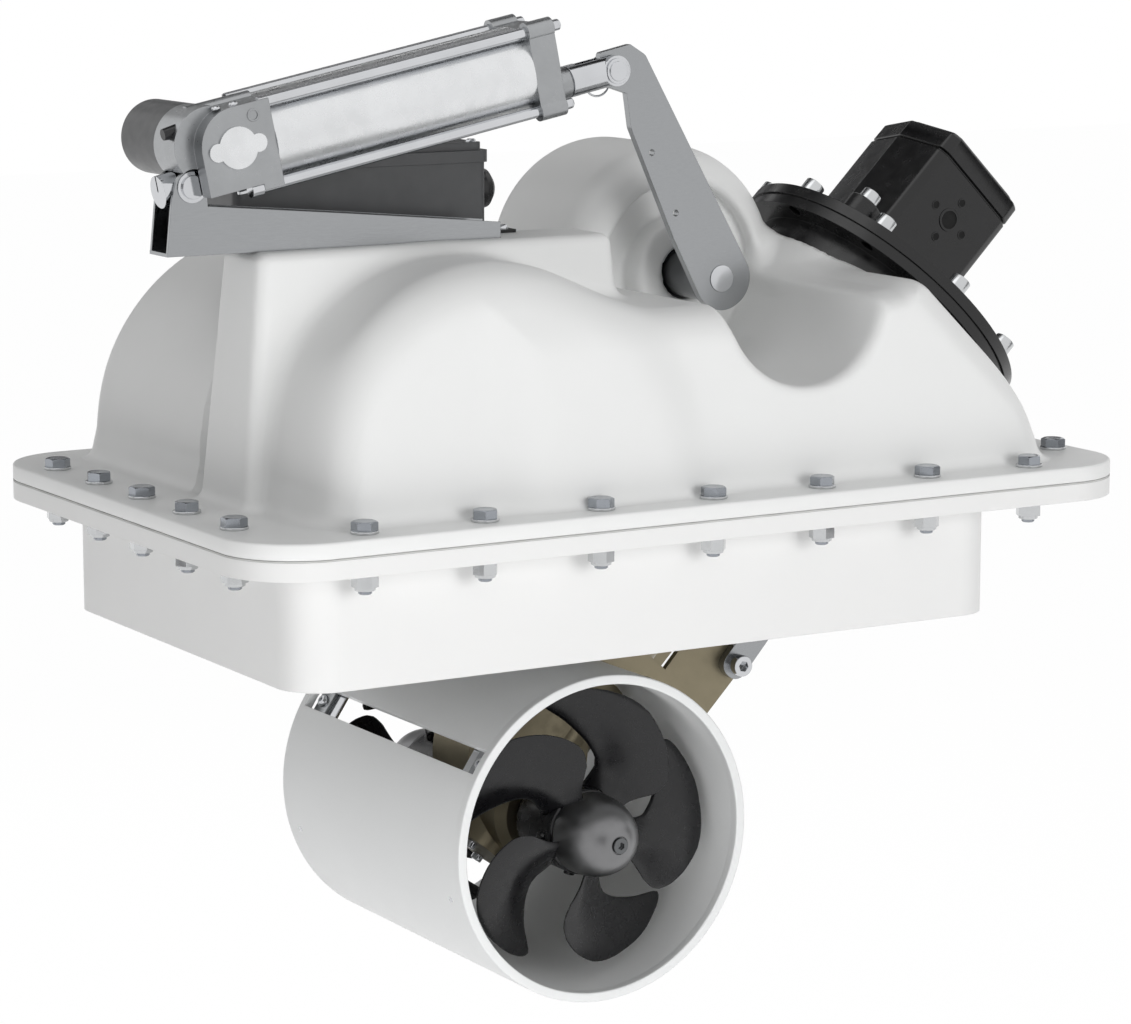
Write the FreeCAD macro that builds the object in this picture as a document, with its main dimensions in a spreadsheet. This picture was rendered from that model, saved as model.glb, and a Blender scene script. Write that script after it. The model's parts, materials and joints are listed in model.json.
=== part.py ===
import FreeCAD, Part
import Sketcher
import math
import os

Vector = FreeCAD.Vector
Rotation = FreeCAD.Rotation
Placement = FreeCAD.Placement

# Driving sizes in millimetres and degrees. X runs along the flange, Y away from the lever side, Z up.
# The origin is the centre of the bolted flange, on its top face.
SIZES = {
    # flange joint
    "flange_length": 594.0,
    "flange_width": 370.0,
    "flange_corner": 46.0,
    "bolt_edge": 17.0,
    "corner_bolt_long": 72.0,
    "corner_bolt_short": 65.0,
    "bolts_long": 7,
    "bolts_short": 5,
    "cover_flange": 9.5,
    "gasket": 1.0,
    "box_flange": 10.5,
    "bolt_radius": 4.0,
    "bolt_play": 0.5,
    "hex_flats": 13.0,
    "bolt_head": 5.3,
    "washer_radius": 8.0,
    "washer_thick": 1.6,
    "nut_height": 7.0,
    "nut_collar": 2.0,
    "bolt_tail": 2.0,
    # lower box
    "box_left_ledge": 38.0,
    "box_right_ledge": 83.0,
    "box_side_ledge": 31.3,
    "box_bottom": -90.0,
    "box_corner": 26.0,
    "wall": 6.0,
    # moulded cover
    "cover_left_ledge": 45.0,
    "cover_right_ledge": 31.0,
    "cover_side_ledge": 30.0,
    "cover_corner": 36.0,
    "cover_far_corner": 10.0,
    "cover_draft": 11.0,
    "hump_x": -124.0,
    "hump_z": 19.0,
    "hump_radius": 119.0,
    "hump_edge": 27.0,
    "hump_far_edge": 10.0,
    "shelf_z": 106.0,
    "crest_z": 115.0,
    "crest_start": 150.0,
    "crest_run": 14.0,
    "slope_sum": 282.0,
    "slope_foot": 42.0,
    "ridge_left": -240.0,
    "ridge_right": -10.0,
    "ridge_near": -75.0,
    "ridge_far": -25.0,
    "ridge_top": 144.0,
    "ridge_flare": 14.0,
    "ridge_round": 8.0,
    "ridge_top_round": 7.0,
    "dome_radius": 76.0,
    "dome_face": -10.0,
    "dome_depth": 120.0,
    "dome_edge": 26.0,
    "dome_recess": 54.0,
    "dome_recess_depth": 10.0,
    "dome_boss": 33.0,
    "pocket_radius": 48.0,
    "collar_radius": 87.0,
    "collar_depth": 20.0,
    # lever shaft and lever
    "shaft_x": 78.1,
    "shaft_z": 110.7,
    "shaft_radius": 12.0,
    "shaft_end_play": 0.5,
    "bush_radius": 16.5,
    "bush_length": 16.0,
    "boss_floor": 5.0,
    "seal_depth": 5.0,
    "boss_radius": 22.0,
    "lever_y": -52.0,
    "lever_thick": 5.0,
    "lever_reach": 148.35,
    "lever_angle": 121.395,
    "lever_half_width": 19.5,
    "lever_tip": 15.5,
    "lever_neck": 11.0,
    "lever_lean": 4.5,
    "lever_peg": 8.0,
    "hub_radius": 15.0,
    "hub_collar": 17.5,
    "crank_reach": 55.0,
    "crank_angle": 231.0,
    "crank_y": 56.0,
    "crank_thick": 10.0,
    "crank_pin": 7.0,
    "link_y": 47.0,
    "link_thick": 8.0,
    "link_half_width": 13.0,
    # swing frame
    "pivot_x": 130.7,
    "pivot_z": -14.6,
    "pivot_pin": 8.0,
    "pivot_bush": 11.0,
    "plate_y": 40.0,
    "plate_thick": 6.0,
    "plate_boss": 20.0,
    "hinge_y": 58.0,
    "hinge_thick": 10.0,
    "hinge_boss": 19.0,
    "leg_reach": 256.9,
    "leg_angle": 48.8,
    "leg_neck": 23.0,
    "leg_bore": 10.0,
    "leg_hub": 30.0,
    "leg_hub_half": 34.0,
    "leg_hub_cone": 6.0,
    "cap_screw": 2.0,
    "pinion_radius": 15.0,
    "leg_disc": 42.0,
    "leg_disc_half": 22.0,
    "cheek_thick": 4.0,
    "tie_bolt_along": 148.0,
    "tie_bolt_side": 50.0,
    # tunnel and propellers
    "tunnel_radius": 98.25,
    "tunnel_bore": 92.5,
    "tunnel_half": 112.5,
    "slot_from": 141.3,
    "slot_to": 150.4,
    "slot_margin": 6.0,
    "prop_radius": 84.5,
    "prop_hub": 26.0,
    "prop_y": 71.5,
    "blade_plane": 84.0,
    "prop_hub_length": 43.0,
    "prop_shaft": 8.0,
    "prop_sleeve": 19.0,
    "end_gap": 0.6,
    "blade_count": 5,
    "blade_root": 24.0,
    "blade_swell": 44.0,
    "blade_lag": 8.0,
    "blade_skew": 22.0,
    "blade_pitch_root": 38.0,
    "blade_pitch_tip": 20.0,
    "blade_thick": 4.6,
    "blade_edge": 1.6,
    "nose_radius": 23.7,
    "nose_tip": 132.0,
    "running_fit": 0.05,
    # actuator
    "rear_x": -275.35,
    "rear_z": 181.98,
    "rear_pin": 6.5,
    "pin_washer": 8.8,
    "tang_radius": 9.2,
    "tang_back": 15.5,
    "barrel_rise": 14.5,
    "barrel_radius": 26.0,
    "barrel_wall": 1.4,
    "barrel_start": 49.5,
    "head_start": 218.0,
    "head_end": 235.0,
    "housing_high": 25.1,
    "housing_low": 20.8,
    "housing_left": 4.0,
    "housing_round": 22.0,
    "housing_face": 25.0,
    "housing_back": 12.0,
    "plate_depth": 10.2,
    "rod_spread": 23.0,
    "rod_gap": 20.5,
    "tie_rod": 3.3,
    "tie_boss": 5.8,
    "tie_head": 4.3,
    "tie_head_length": 7.2,
    "tie_seat": 37.2,
    "gland_end": 250.5,
    "gland_radius": 11.5,
    "piston_rod": 8.1,
    "fork_radius": 9.5,
    "fork_slot": 7.0,
    "fork_depth": 24.0,
    "fork_gap": 1.0,
    "clevis_pin": 5.8,
    "ring_mean": 8.4,
    "ring_wire": 0.6,
    "gearbox_radius": 22.0,
    "gearbox_t": 14.3,
    "gearbox_n": 20.0,
    "drive_radius": 21.0,
    "drive_end": 5.0,
    "badge_radius": 11.8,
    "badge_lobe": 5.2,
    "badge_reach": 12.6,
    "badge_t": 25.7,
    "badge_n": 17.0,
    "badge_thick": 1.2,
    "side_tube": 4.7,
    "side_tube_n": 37.7,
    "cable_n": 31.6,
    # bracket and control box
    "bracket_half": 11.5,
    "bracket_wall": 2.0,
    "bracket_ear": 8.4,
    "bracket_left": -291.0,
    "bracket_right": -79.8,
    "control_left": -229.0,
    "control_right": -65.0,
    "control_near": -22.0,
    "control_far": 28.0,
    "control_top": 196.0,
    "carrier_thick": 2.0,
    "stand_off": 3.0,
    "lid_height": 11.5,
    "lid_crown": 4.5,
    "connector_radius": 12.5,
    "connector_length": 16.0,
    # hydraulic motor
    "motor_tilt": 45.0,
    "motor_reach": 145.8,
    "ring_radius": 100.8,
    "ring_thick": 7.0,
    "spigot_radius": 80.0,
    "spigot_shoulder": 84.5,
    "spigot_play": 0.3,
    "spigot_sum": 252.0,
    "spigot_wall": 8.0,
    "ring_screws": 10,
    "screw_turn": 8.5,
    "screw_circle": 94.0,
    "motor_half_width": 40.0,
    "motor_up": 60.0,
    "motor_down": 27.0,
    "motor_length": 79.0,
    "motor_cover": 16.0,
    "foot_u": 59.5,
    "foot_v": 47.0,
    "foot_thick": 11.0,
    "foot_end": 11.0,
    "motor_chamfer": 14.0,
    "port_radius": 5.8,
    "port_rise": 49.7,
    "port_square": 20.0,
    "cup_radius": 15.0,
    "cup_wall": 5.0,
    "ball_play": 1.0,
    "drive_shaft": 8.0,
}

doc = FreeCAD.newDocument("thruster")
sheet = doc.addObject("Spreadsheet::Sheet", "dims")
for row, (alias, number) in enumerate(SIZES.items(), start=1):
    sheet.set(f"A{row}", alias)
    sheet.set(f"B{row}", str(number))
    sheet.setAlias(f"B{row}", alias)
doc.recompute()


class Size:
    """A number that also carries its formula in the sheet."""

    def __init__(self, value, formula):
        self.value = float(value)
        self.formula = formula

    def __float__(self):
        return self.value

    def __add__(self, other):
        other = as_size(other)
        return Size(self.value + other.value, f"({self.formula} + {other.formula})")

    def __radd__(self, other):
        return as_size(other) + self

    def __sub__(self, other):
        other = as_size(other)
        return Size(self.value - other.value, f"({self.formula} - {other.formula})")

    def __rsub__(self, other):
        return as_size(other) - self

    def __mul__(self, other):
        other = as_size(other)
        return Size(self.value * other.value, f"({self.formula} * {other.formula})")

    def __rmul__(self, other):
        return as_size(other) * self

    def __truediv__(self, other):
        other = as_size(other)
        return Size(self.value / other.value, f"({self.formula} / {other.formula})")

    def __neg__(self):
        return Size(-self.value, f"(0 - {self.formula})")


def as_size(number):
    if isinstance(number, Size):
        return number
    number = float(number)
    return Size(number, f"{number}" if number >= 0 else f"(0 - {-number})")


def sine(angle):
    angle = as_size(angle)
    return Size(math.sin(math.radians(angle.value)), f"sin({angle.formula})")


def cosine(angle):
    angle = as_size(angle)
    return Size(math.cos(math.radians(angle.value)), f"cos({angle.formula})")


def root(number):
    return Size(math.sqrt(number.value), f"sqrt({number.formula})")


def heading(run, rise):
    """Angle in degrees of the direction (run, rise)."""
    return Size(math.degrees(math.atan2(rise.value, run.value)), f"(atan({rise.formula} / {run.formula}) / 1deg)")


class SheetSizes:
    def __getattr__(self, alias):
        return Size(float(sheet.get(alias)), f"dims.{alias}")


S = SheetSizes()
PIECES = []


def bind(thing, prop, size):
    """Tie a property of an object to a formula over the sheet."""
    thing.setExpression(prop, as_size(size).formula)


def solid(kind, **sizes):
    thing = doc.addObject(kind, "shape")
    for prop, size in sizes.items():
        bind(thing, prop, size)
    return thing


def shift(thing, x=0.0, y=0.0, z=0.0):
    bind(thing, "Placement.Base.x", x)
    bind(thing, "Placement.Base.y", y)
    bind(thing, "Placement.Base.z", z)
    return thing


def block(x0, x1, y0, y1, z0, z1):
    thing = solid("Part::Box", Length=as_size(x1) - x0, Width=as_size(y1) - y0, Height=as_size(z1) - z0)
    return shift(thing, x0, y0, z0)


AXIS_TURN = {
    "x": Rotation(Vector(0, 1, 0), 90),
    "y": Rotation(Vector(1, 0, 0), -90),
    "z": Rotation(),
}


def lay(thing, axis, start, first, second):
    """Turn a solid that stands on Z onto an axis, starting at start, at the other two coordinates."""
    thing.Placement = Placement(Vector(), AXIS_TURN[axis])
    spot = {"x": (start, first, second), "y": (first, start, second), "z": (first, second, start)}[axis]
    return shift(thing, *spot)


def rod(axis, radius, start, end, first=0.0, second=0.0):
    thing = solid("Part::Cylinder", Radius=radius, Height=as_size(end) - start)
    return lay(thing, axis, start, first, second)


def cone(axis, radius1, radius2, start, end, first=0.0, second=0.0):
    thing = solid("Part::Cone", Radius1=radius1, Radius2=radius2, Height=as_size(end) - start)
    return lay(thing, axis, start, first, second)


def ball(radius, x=0.0, y=0.0, z=0.0):
    return shift(solid("Part::Sphere", Radius=radius), x, y, z)


def hexagon(axis, flats, start, end, first=0.0, second=0.0):
    thing = solid("Part::Prism", Circumradius=as_size(flats) / math.sqrt(3), Height=as_size(end) - start)
    thing.Polygon = 6
    return lay(thing, axis, start, first, second)


def cut(base, *tools):
    for tool in tools:
        thing = doc.addObject("Part::Cut", "cut")
        thing.Base = base
        thing.Tool = tool
        base = thing
    return base


def fuse(*shapes):
    thing = doc.addObject("Part::MultiFuse", "fuse")
    thing.Shapes = list(shapes)
    thing.Refine = True
    return thing


def group(shapes):
    thing = doc.addObject("Part::Compound", "group")
    thing.Links = list(shapes)
    return thing


def tube(axis, outer, inner, start, end, first=0.0, second=0.0):
    return cut(rod(axis, outer, start, end, first, second), rod(axis, inner, start, end, first, second))


def keep(thing, label):
    """Name a finished piece; the label is also its file name."""
    thing.Label = label
    PIECES.append(thing)
    return thing


def tilt(thing, angle, x, z):
    """Turn a piece about Y by an angle and carry its own origin to (x, z)."""
    holder = group([thing])
    holder.Placement = Placement(Vector(), Rotation(Vector(0, 1, 0), float(angle)))
    bind(holder, "Placement.Rotation.Angle", angle)
    return shift(holder, x, 0.0, z)


def origin_plane(owner, role):
    return next(plane for plane in owner.Origin.OriginFeatures if plane.Role == role)


def datum(sketch, constraint, size):
    index = sketch.addConstraint(constraint)
    bind(sketch, f"Constraints[{index}]", size)


def outline(owner, role, points, circles=()):
    """Closed sketch through points, with round holes, every point tied to its formula."""
    sketch = owner.newObject("Sketcher::SketchObject", "sketch")
    sketch.AttachmentSupport = [(origin_plane(owner, role), "")]
    sketch.MapMode = "FlatFace"
    spots = [Vector(float(u), float(v), 0) for u, v in points]
    count = len(spots)
    for index in range(count):
        sketch.addGeometry(Part.LineSegment(spots[index], spots[(index + 1) % count]), False)
    for index in range(count):
        sketch.addConstraint(Sketcher.Constraint("Coincident", index, 2, (index + 1) % count, 1))
    for index, (u, v) in enumerate(points):
        datum(sketch, Sketcher.Constraint("DistanceX", -1, 1, index, 1, float(u)), u)
        datum(sketch, Sketcher.Constraint("DistanceY", -1, 1, index, 1, float(v)), v)
    for u, v, radius in circles:
        index = sketch.addGeometry(Part.Circle(Vector(float(u), float(v), 0), Vector(0, 0, 1), float(radius)), False)
        datum(sketch, Sketcher.Constraint("DistanceX", -1, 1, index, 3, float(u)), u)
        datum(sketch, Sketcher.Constraint("DistanceY", -1, 1, index, 3, float(v)), v)
        datum(sketch, Sketcher.Constraint("Radius", index, float(radius)), radius)
    return sketch


def round_edges(owner, base, wanted, radius):
    """Fillet the edges of a body's last feature that a test picks."""
    doc.recompute()
    names = [f"Edge{number}" for number, edge in enumerate(base.Shape.Edges, start=1) if wanted(edge)]
    fillet = owner.newObject("PartDesign::Fillet", "fillet")
    fillet.Base = (base, names)
    bind(fillet, "Radius", radius)
    return fillet


def plate(points, y0, y1, circles=(), rounds=()):
    """Plate in the XZ plane from y0 to y1, with round holes and corners rounded by (index, radius)."""
    owner = doc.addObject("PartDesign::Body", "body")
    sketch = outline(owner, "XZ_Plane", points, circles)
    tip = owner.newObject("PartDesign::Pad", "pad")
    tip.Profile = sketch
    bind(tip, "Length", as_size(y1) - y0)
    for index, radius in rounds:
        u, v = float(points[index][0]), float(points[index][1])

        def at_corner(edge):
            return all(math.hypot(w.Point.x - u, w.Point.z - v) < 0.01 for w in edge.Vertexes)

        tip = round_edges(owner, tip, at_corner, radius)
    return shift(owner, 0.0, y1, 0.0)


def slab(x0, x1, y0, y1, z0, z1, corner, circles=()):
    """Block with rounded upright corners and round holes through it."""
    owner = doc.addObject("PartDesign::Body", "body")
    sketch = outline(owner, "XY_Plane", [(x0, y0), (x1, y0), (x1, y1), (x0, y1)], circles)
    pad = owner.newObject("PartDesign::Pad", "pad")
    pad.Profile = sketch
    bind(pad, "Length", as_size(z1) - z0)

    def upright(edge):
        return len(edge.Vertexes) == 2 and abs(edge.Vertexes[0].Point.z - edge.Vertexes[1].Point.z) > 0.01 \
            and edge.Curve.TypeId == "Part::GeomLine" and is_corner(edge.Vertexes[0].Point)

    def is_corner(point):
        return min(abs(point.x - float(x0)), abs(point.x - float(x1))) < 0.01 and \
            min(abs(point.y - float(y0)), abs(point.y - float(y1))) < 0.01

    round_edges(owner, pad, upright, corner)
    return shift(owner, 0.0, 0.0, z0)


def turned(profile):
    """Solid turned about Z from a half section given as (radius, height)."""
    owner = doc.addObject("PartDesign::Body", "body")
    sketch = outline(owner, "XZ_Plane", profile)
    turn = owner.newObject("PartDesign::Revolution", "turn")
    turn.Profile = sketch
    turn.ReferenceAxis = (sketch, ["V_Axis"])
    turn.Angle = 360
    return owner


# Where the driven points lie
def polar(x, z, reach, angle):
    return x + reach * cosine(angle), z + reach * sine(angle)


clevis_x, clevis_z = polar(S.shaft_x, S.shaft_z, S.lever_reach, S.lever_angle)
crank_x, crank_z = polar(S.shaft_x, S.shaft_z, S.crank_reach, S.crank_angle)
link_x, link_z = polar(S.pivot_x, S.pivot_z, S.crank_reach, S.crank_angle)
tunnel_x, tunnel_z = polar(S.pivot_x, S.pivot_z, -S.leg_reach, S.leg_angle)
ring_x, ring_z = polar(S.pivot_x, S.pivot_z, S.motor_reach, 90.0 - S.motor_tilt)
rod_run = clevis_x - S.rear_x
rod_rise = clevis_z - S.rear_z
rod_reach = root(rod_run * rod_run + rod_rise * rod_rise)
rod_angle = heading(rod_run, rod_rise)
rear_bush_end = S.dome_face + S.dome_depth - S.wall - S.boss_floor
rear_bush_start = rear_bush_end - S.bush_length
front_bush_start = S.dome_face + S.seal_depth + 1.0


def in_leg(piece):
    """Leg frame: Z from the propeller axis to the pivot, X across to the right."""
    return tilt(piece, 90.0 - S.leg_angle, tunnel_x, tunnel_z)


def in_actuator(piece):
    """Actuator frame: X from the rear pin to the fork pin, Z across it and up."""
    return tilt(piece, -rod_angle, S.rear_x, S.rear_z)


def in_motor(piece):
    """Motor frame: Z out along the motor axis, X down the slope, from the top of the upper ring."""
    return tilt(piece, S.motor_tilt, ring_x, ring_z)


def in_lever(piece):
    """Lever frame: Z from the shaft to the fork pin, X across to the right."""
    return tilt(piece, 90.0 - S.lever_angle, S.shaft_x, S.shaft_z)


# Flange joint
half_long = S.flange_length / 2
half_wide = S.flange_width / 2
bolt_x = half_long - S.bolt_edge
bolt_y = half_wide - S.bolt_edge
pitch_long = (S.flange_length - S.corner_bolt_long * 2) / (S.bolts_long - 1)
pitch_short = (S.flange_width - S.corner_bolt_short * 2) / (S.bolts_short - 1)
box_left = S.box_left_ledge - half_long
box_right = half_long - S.box_right_ledge
box_half_width = half_wide - S.box_side_ledge
cover_left = S.cover_left_ledge - half_long
cover_right = half_long - S.cover_right_ledge
cover_half_width = half_wide - S.cover_side_ledge
box_flange_top = -(S.cover_flange + S.gasket)
box_flange_bottom = box_flange_top - S.box_flange


def spread(count, pitch):
    """Evenly spaced places about zero."""
    return [(index - (count - 1) / 2) * pitch for index in range(count)]


def bolt_places():
    places = []
    for x in spread(int(S.bolts_long.value), pitch_long):
        places += [(x, bolt_y), (x, -bolt_y)]
    for y in spread(int(S.bolts_short.value), pitch_short):
        places += [(bolt_x, y), (-bolt_x, y)]
    return places


BOLTS = bolt_places()


def bolt_holes(z0, z1):
    radius = S.bolt_radius + S.bolt_play
    return group(rod("z", radius, z0, z1, x, y) for x, y in BOLTS)


def flange_fasteners():
    nut_top = box_flange_bottom - S.washer_thick
    nut_bottom = nut_top - S.nut_height
    tail = nut_bottom - S.nut_collar - S.bolt_tail
    bolts = []
    washers = []
    nuts = []
    for x, y in BOLTS:
        head = hexagon("z", S.hex_flats, S.washer_thick, S.washer_thick + S.bolt_head, x, y)
        bolts.append(fuse(head, rod("z", S.bolt_radius, tail, S.washer_thick, x, y)))
        hole = S.bolt_radius + S.bolt_play / 2
        washers.append(tube("z", S.washer_radius, hole, 0.0, S.washer_thick, x, y))
        washers.append(tube("z", S.washer_radius, hole, nut_top, box_flange_bottom, x, y))
        hexed = hexagon("z", S.hex_flats, nut_bottom, nut_top, x, y)
        crimped = rod("z", S.hex_flats / 2 - 0.8, nut_bottom - S.nut_collar, nut_bottom, x, y)
        bore = rod("z", S.bolt_radius + S.running_fit, tail, nut_top, x, y)
        nuts.append(cut(fuse(hexed, crimped), bore))
    keep(group(bolts), "flange_bolts")
    keep(group(washers), "flange_washers")
    keep(group(nuts), "flange_nuts")


def lower_box():
    flange = slab(-half_long, half_long, -half_wide, half_wide, box_flange_bottom, box_flange_top, S.flange_corner)
    outer = slab(box_left, box_right, -box_half_width, box_half_width,
                 S.box_bottom, box_flange_bottom, S.box_corner)
    inner_y = box_half_width - S.wall
    inner = slab(box_left + S.wall, box_right - S.wall, -inner_y, inner_y,
                 S.box_bottom - S.wall, box_flange_top + S.wall, S.box_corner - S.wall)
    holes = bolt_holes(box_flange_bottom, box_flange_top)
    keep(cut(fuse(flange, outer), inner, holes), "lower_box")


def flange_gasket():
    pad = slab(-half_long, half_long, -half_wide, half_wide, box_flange_top, -S.cover_flange, S.flange_corner)
    inner_y = box_half_width - S.wall
    window = slab(cover_left + S.wall, cover_right - S.wall, -inner_y, inner_y,
                  box_flange_top - S.gasket, S.gasket - S.cover_flange, S.box_corner - S.wall)
    keep(cut(pad, window, bolt_holes(box_flange_top, -S.cover_flange)), "flange_gasket")


def rounded_wire(x0, x1, y0, y1, corner, z, far_left=None):
    """Rounded rectangle at a height, with its far left corner rounded by its own radius if given."""
    edges = []
    corners = [(x1, y0, -1, 1), (x1, y1, -1, -1), (x0, y1, 1, -1), (x0, y0, 1, 1)]
    radii = [corner, corner, far_left or corner, corner]
    stops = []
    for (x, y, sx, sy), corner in zip(corners, radii):
        k = corner * (1 - math.sqrt(0.5))
        first = (x + sx * corner, y) if (sx < 0) == (sy > 0) else (x, y + sy * corner)
        last = (x, y + sy * corner) if (sx < 0) == (sy > 0) else (x + sx * corner, y)
        middle = (x + sx * k, y + sy * k)
        stops.append([Vector(u, v, z) for u, v in (first, middle, last)])
    for index, (first, middle, last) in enumerate(stops):
        edges.append(Part.Arc(first, middle, last).toShape())
        edges.append(Part.LineSegment(last, stops[(index + 1) % 4][0]).toShape())
    return Part.Wire(edges)


def drum(x, z, radius, y0, y1, edge0, edge1):
    """Round drum along Y with rounded rims."""
    def at(r, y):
        return Vector(x + r, y, z)

    def rim(y, side, edge):
        k = edge * (1 - math.sqrt(0.5))
        return at(radius - edge, y), at(radius - k, y + side * k), at(radius, y + side * edge)

    a, b, c = rim(y0, 1, edge0)
    d, e, f = rim(y1, -1, edge1)
    edges = [Part.LineSegment(at(0, y0), a), Part.Arc(a, b, c), Part.LineSegment(c, f),
             Part.Arc(f, e, d), Part.LineSegment(d, at(0, y1)), Part.LineSegment(at(0, y1), at(0, y0))]
    section = Part.Face(Part.Wire([edge.toShape() for edge in edges]))
    return section.revolve(Vector(x, 0, z), Vector(0, 1, 0), 360)


def prism(points, y0, y1):
    """Straight prism along Y on a polygon in XZ."""
    corners = [Vector(x, y0, z) for x, z in points]
    return Part.Face(Part.makePolygon(corners + corners[:1])).extrude(Vector(0, y1 - y0, 0))


def cover_form(inset):
    """The moulded form, drawn in by inset on every side: 0 is the outside, the wall is the inside."""
    left = cover_left.value + inset
    right = cover_right.value - inset
    half = cover_half_width.value - inset
    draft = S.cover_draft.value
    shelf = S.shelf_z.value - inset
    crest = S.crest_z.value - inset
    slope = S.slope_sum.value - inset * math.sqrt(2)
    foot = S.slope_foot.value
    corner = S.cover_corner.value - inset
    far_corner = S.cover_far_corner.value - inset
    hump_x = S.hump_x.value
    hump_z = S.hump_z.value
    hump_radius = S.hump_radius.value - inset
    ceiling = S.ridge_top.value + draft
    below = 0.0 if inset == 0 else -S.cover_flange.value - 1.0
    saddle = prism([(left, below), (hump_x - hump_radius, hump_z), (hump_x, hump_z), (hump_x, shelf),
                    (S.crest_start.value - S.crest_run.value, shelf), (S.crest_start.value, crest),
                    (slope - crest, crest), (slope - foot, foot), (right, below)], -half, half)
    skirt = Part.makeLoft([rounded_wire(left, right, -half, half, corner, below, far_corner),
                           rounded_wire(left + draft, right - draft, draft - half, half - draft,
                                        corner + draft, ceiling, far_corner)], True, True)
    hump = drum(hump_x, hump_z, hump_radius, -half, half, S.hump_edge.value - inset, S.hump_far_edge.value - inset)
    body = saddle.fuse(hump).common(skirt)
    flare = S.ridge_flare.value
    ridge = Part.makeLoft([
        rounded_wire(S.ridge_left.value - flare + inset, S.ridge_right.value + flare - inset,
                     S.ridge_near.value - flare / 2 + inset, S.ridge_far.value + flare / 2 - inset,
                     S.ridge_round.value, below),
        rounded_wire(S.ridge_left.value + inset, S.ridge_right.value - inset, S.ridge_near.value + inset,
                     S.ridge_far.value - inset, S.ridge_round.value, S.ridge_top.value - inset)], True, True)
    if inset == 0:
        top = [edge for edge in ridge.Edges if min(v.Point.z for v in edge.Vertexes) > S.ridge_top.value - 1]
        ridge = ridge.makeFillet(S.ridge_top_round.value, top)
    pivot = Vector(S.shaft_x.value, 0, S.shaft_z.value)
    face = S.dome_face.value + inset
    pocket_radius = S.pocket_radius.value + inset
    pocket = Part.makeCylinder(pocket_radius, half + face + draft, pivot + Vector(0, -half - draft, 0), Vector(0, 1, 0))
    reach = pocket_radius / math.sqrt(2)
    climb = ceiling - pivot.z + reach
    ramp = prism([(pivot.x, pivot.z), (pivot.x + reach, pivot.z - reach), (pivot.x + reach + climb, ceiling),
                  (pivot.x, ceiling)], -half - draft, face)
    dome_far = S.dome_face.value + S.dome_depth.value - inset
    dome = drum(pivot.x, pivot.z, S.dome_radius.value - inset, face, dome_far,
                S.dome_edge.value - inset, S.dome_edge.value - inset)
    return body.fuse(ridge).cut(pocket.fuse(ramp)).fuse(dome)


def moulded_cover():
    pivot = Vector(S.shaft_x.value, 0, S.shaft_z.value)
    along = Vector(0, 1, 0)
    face = S.dome_face.value
    wall = S.wall.value
    outside = cover_form(0.0)
    recess = Part.makeCylinder(S.dome_recess.value, S.dome_recess_depth.value, pivot + Vector(0, face, 0), along)
    boss = Part.makeCylinder(S.dome_boss.value, S.dome_recess_depth.value, pivot + Vector(0, face, 0), along)
    reach = S.dome_radius.value
    above = prism([(pivot.x - reach, S.shelf_z.value), (pivot.x + reach, S.shelf_z.value),
                   (pivot.x + reach, pivot.z + reach), (pivot.x - reach, pivot.z + reach)], face - 1, 0)
    outside = outside.cut(recess.cut(boss).common(above))
    shell = outside.cut(cover_form(wall))
    backing = Part.makeCylinder(S.dome_recess.value + wall, S.dome_recess_depth.value + wall,
                                pivot + Vector(0, face, 0), along).cut(recess.cut(boss).common(above))
    shell = shell.fuse(backing.common(outside))
    rear_boss = Part.makeCylinder(S.boss_radius.value, S.bush_length.value + wall,
                                  pivot + Vector(0, rear_bush_start.value, 0), along)
    axis = Vector(math.sin(math.radians(S.motor_tilt.value)), 0, math.cos(math.radians(S.motor_tilt.value)))
    spigot = Vector(ring_x.value, 0, ring_z.value)
    top = spigot + axis * ((S.slope_sum.value - spigot.x - spigot.z) / (axis.x + axis.z))
    collar = Part.makeCylinder(S.collar_radius.value, S.collar_depth.value, top - axis * S.collar_depth.value, axis)
    right = cover_right.value
    crest = prism([(0, 0), (right, 0), (right, S.crest_z.value), (0, S.crest_z.value)],
                  -half_wide.value, half_wide.value)
    hole = Part.makeCylinder(S.spigot_radius.value + S.spigot_play.value, 120.0, top - axis * 40.0, axis)
    flange = Part.Face(rounded_wire(-half_long.value, half_long.value, -half_wide.value, half_wide.value,
                                    S.flange_corner.value, -S.cover_flange.value))
    flange = flange.extrude(Vector(0, 0, S.cover_flange.value))
    window = Part.Face(rounded_wire(cover_left.value + wall, cover_right.value - wall,
                                    wall - cover_half_width.value, cover_half_width.value - wall,
                                    S.cover_corner.value - wall, -S.cover_flange.value - 1.0))
    window = window.extrude(Vector(0, 0, S.cover_flange.value + 2.0))
    bolts = [Part.makeCylinder(S.bolt_radius.value + S.bolt_play.value, S.cover_flange.value,
                               Vector(x.value, y.value, -S.cover_flange.value)) for x, y in BOLTS]
    shell = shell.fuse(flange.cut(window)).fuse(collar.common(crest)).fuse(rear_boss)
    shell = shell.cut(hole)
    shell = shell.cut(Part.makeCompound(bolts))
    shell = shell.cut(Part.makeCylinder(S.bush_radius.value, 2 * S.bush_length.value,
                                        pivot + Vector(0, face - 5.0, 0), along))
    shell = shell.cut(Part.makeCylinder(S.bush_radius.value, S.bush_length.value,
                                        pivot + Vector(0, rear_bush_start.value, 0), along))
    cover = doc.addObject("Part::Feature", "moulding")
    cover.Shape = shell.removeSplitter()
    keep(cover, "cover")


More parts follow.
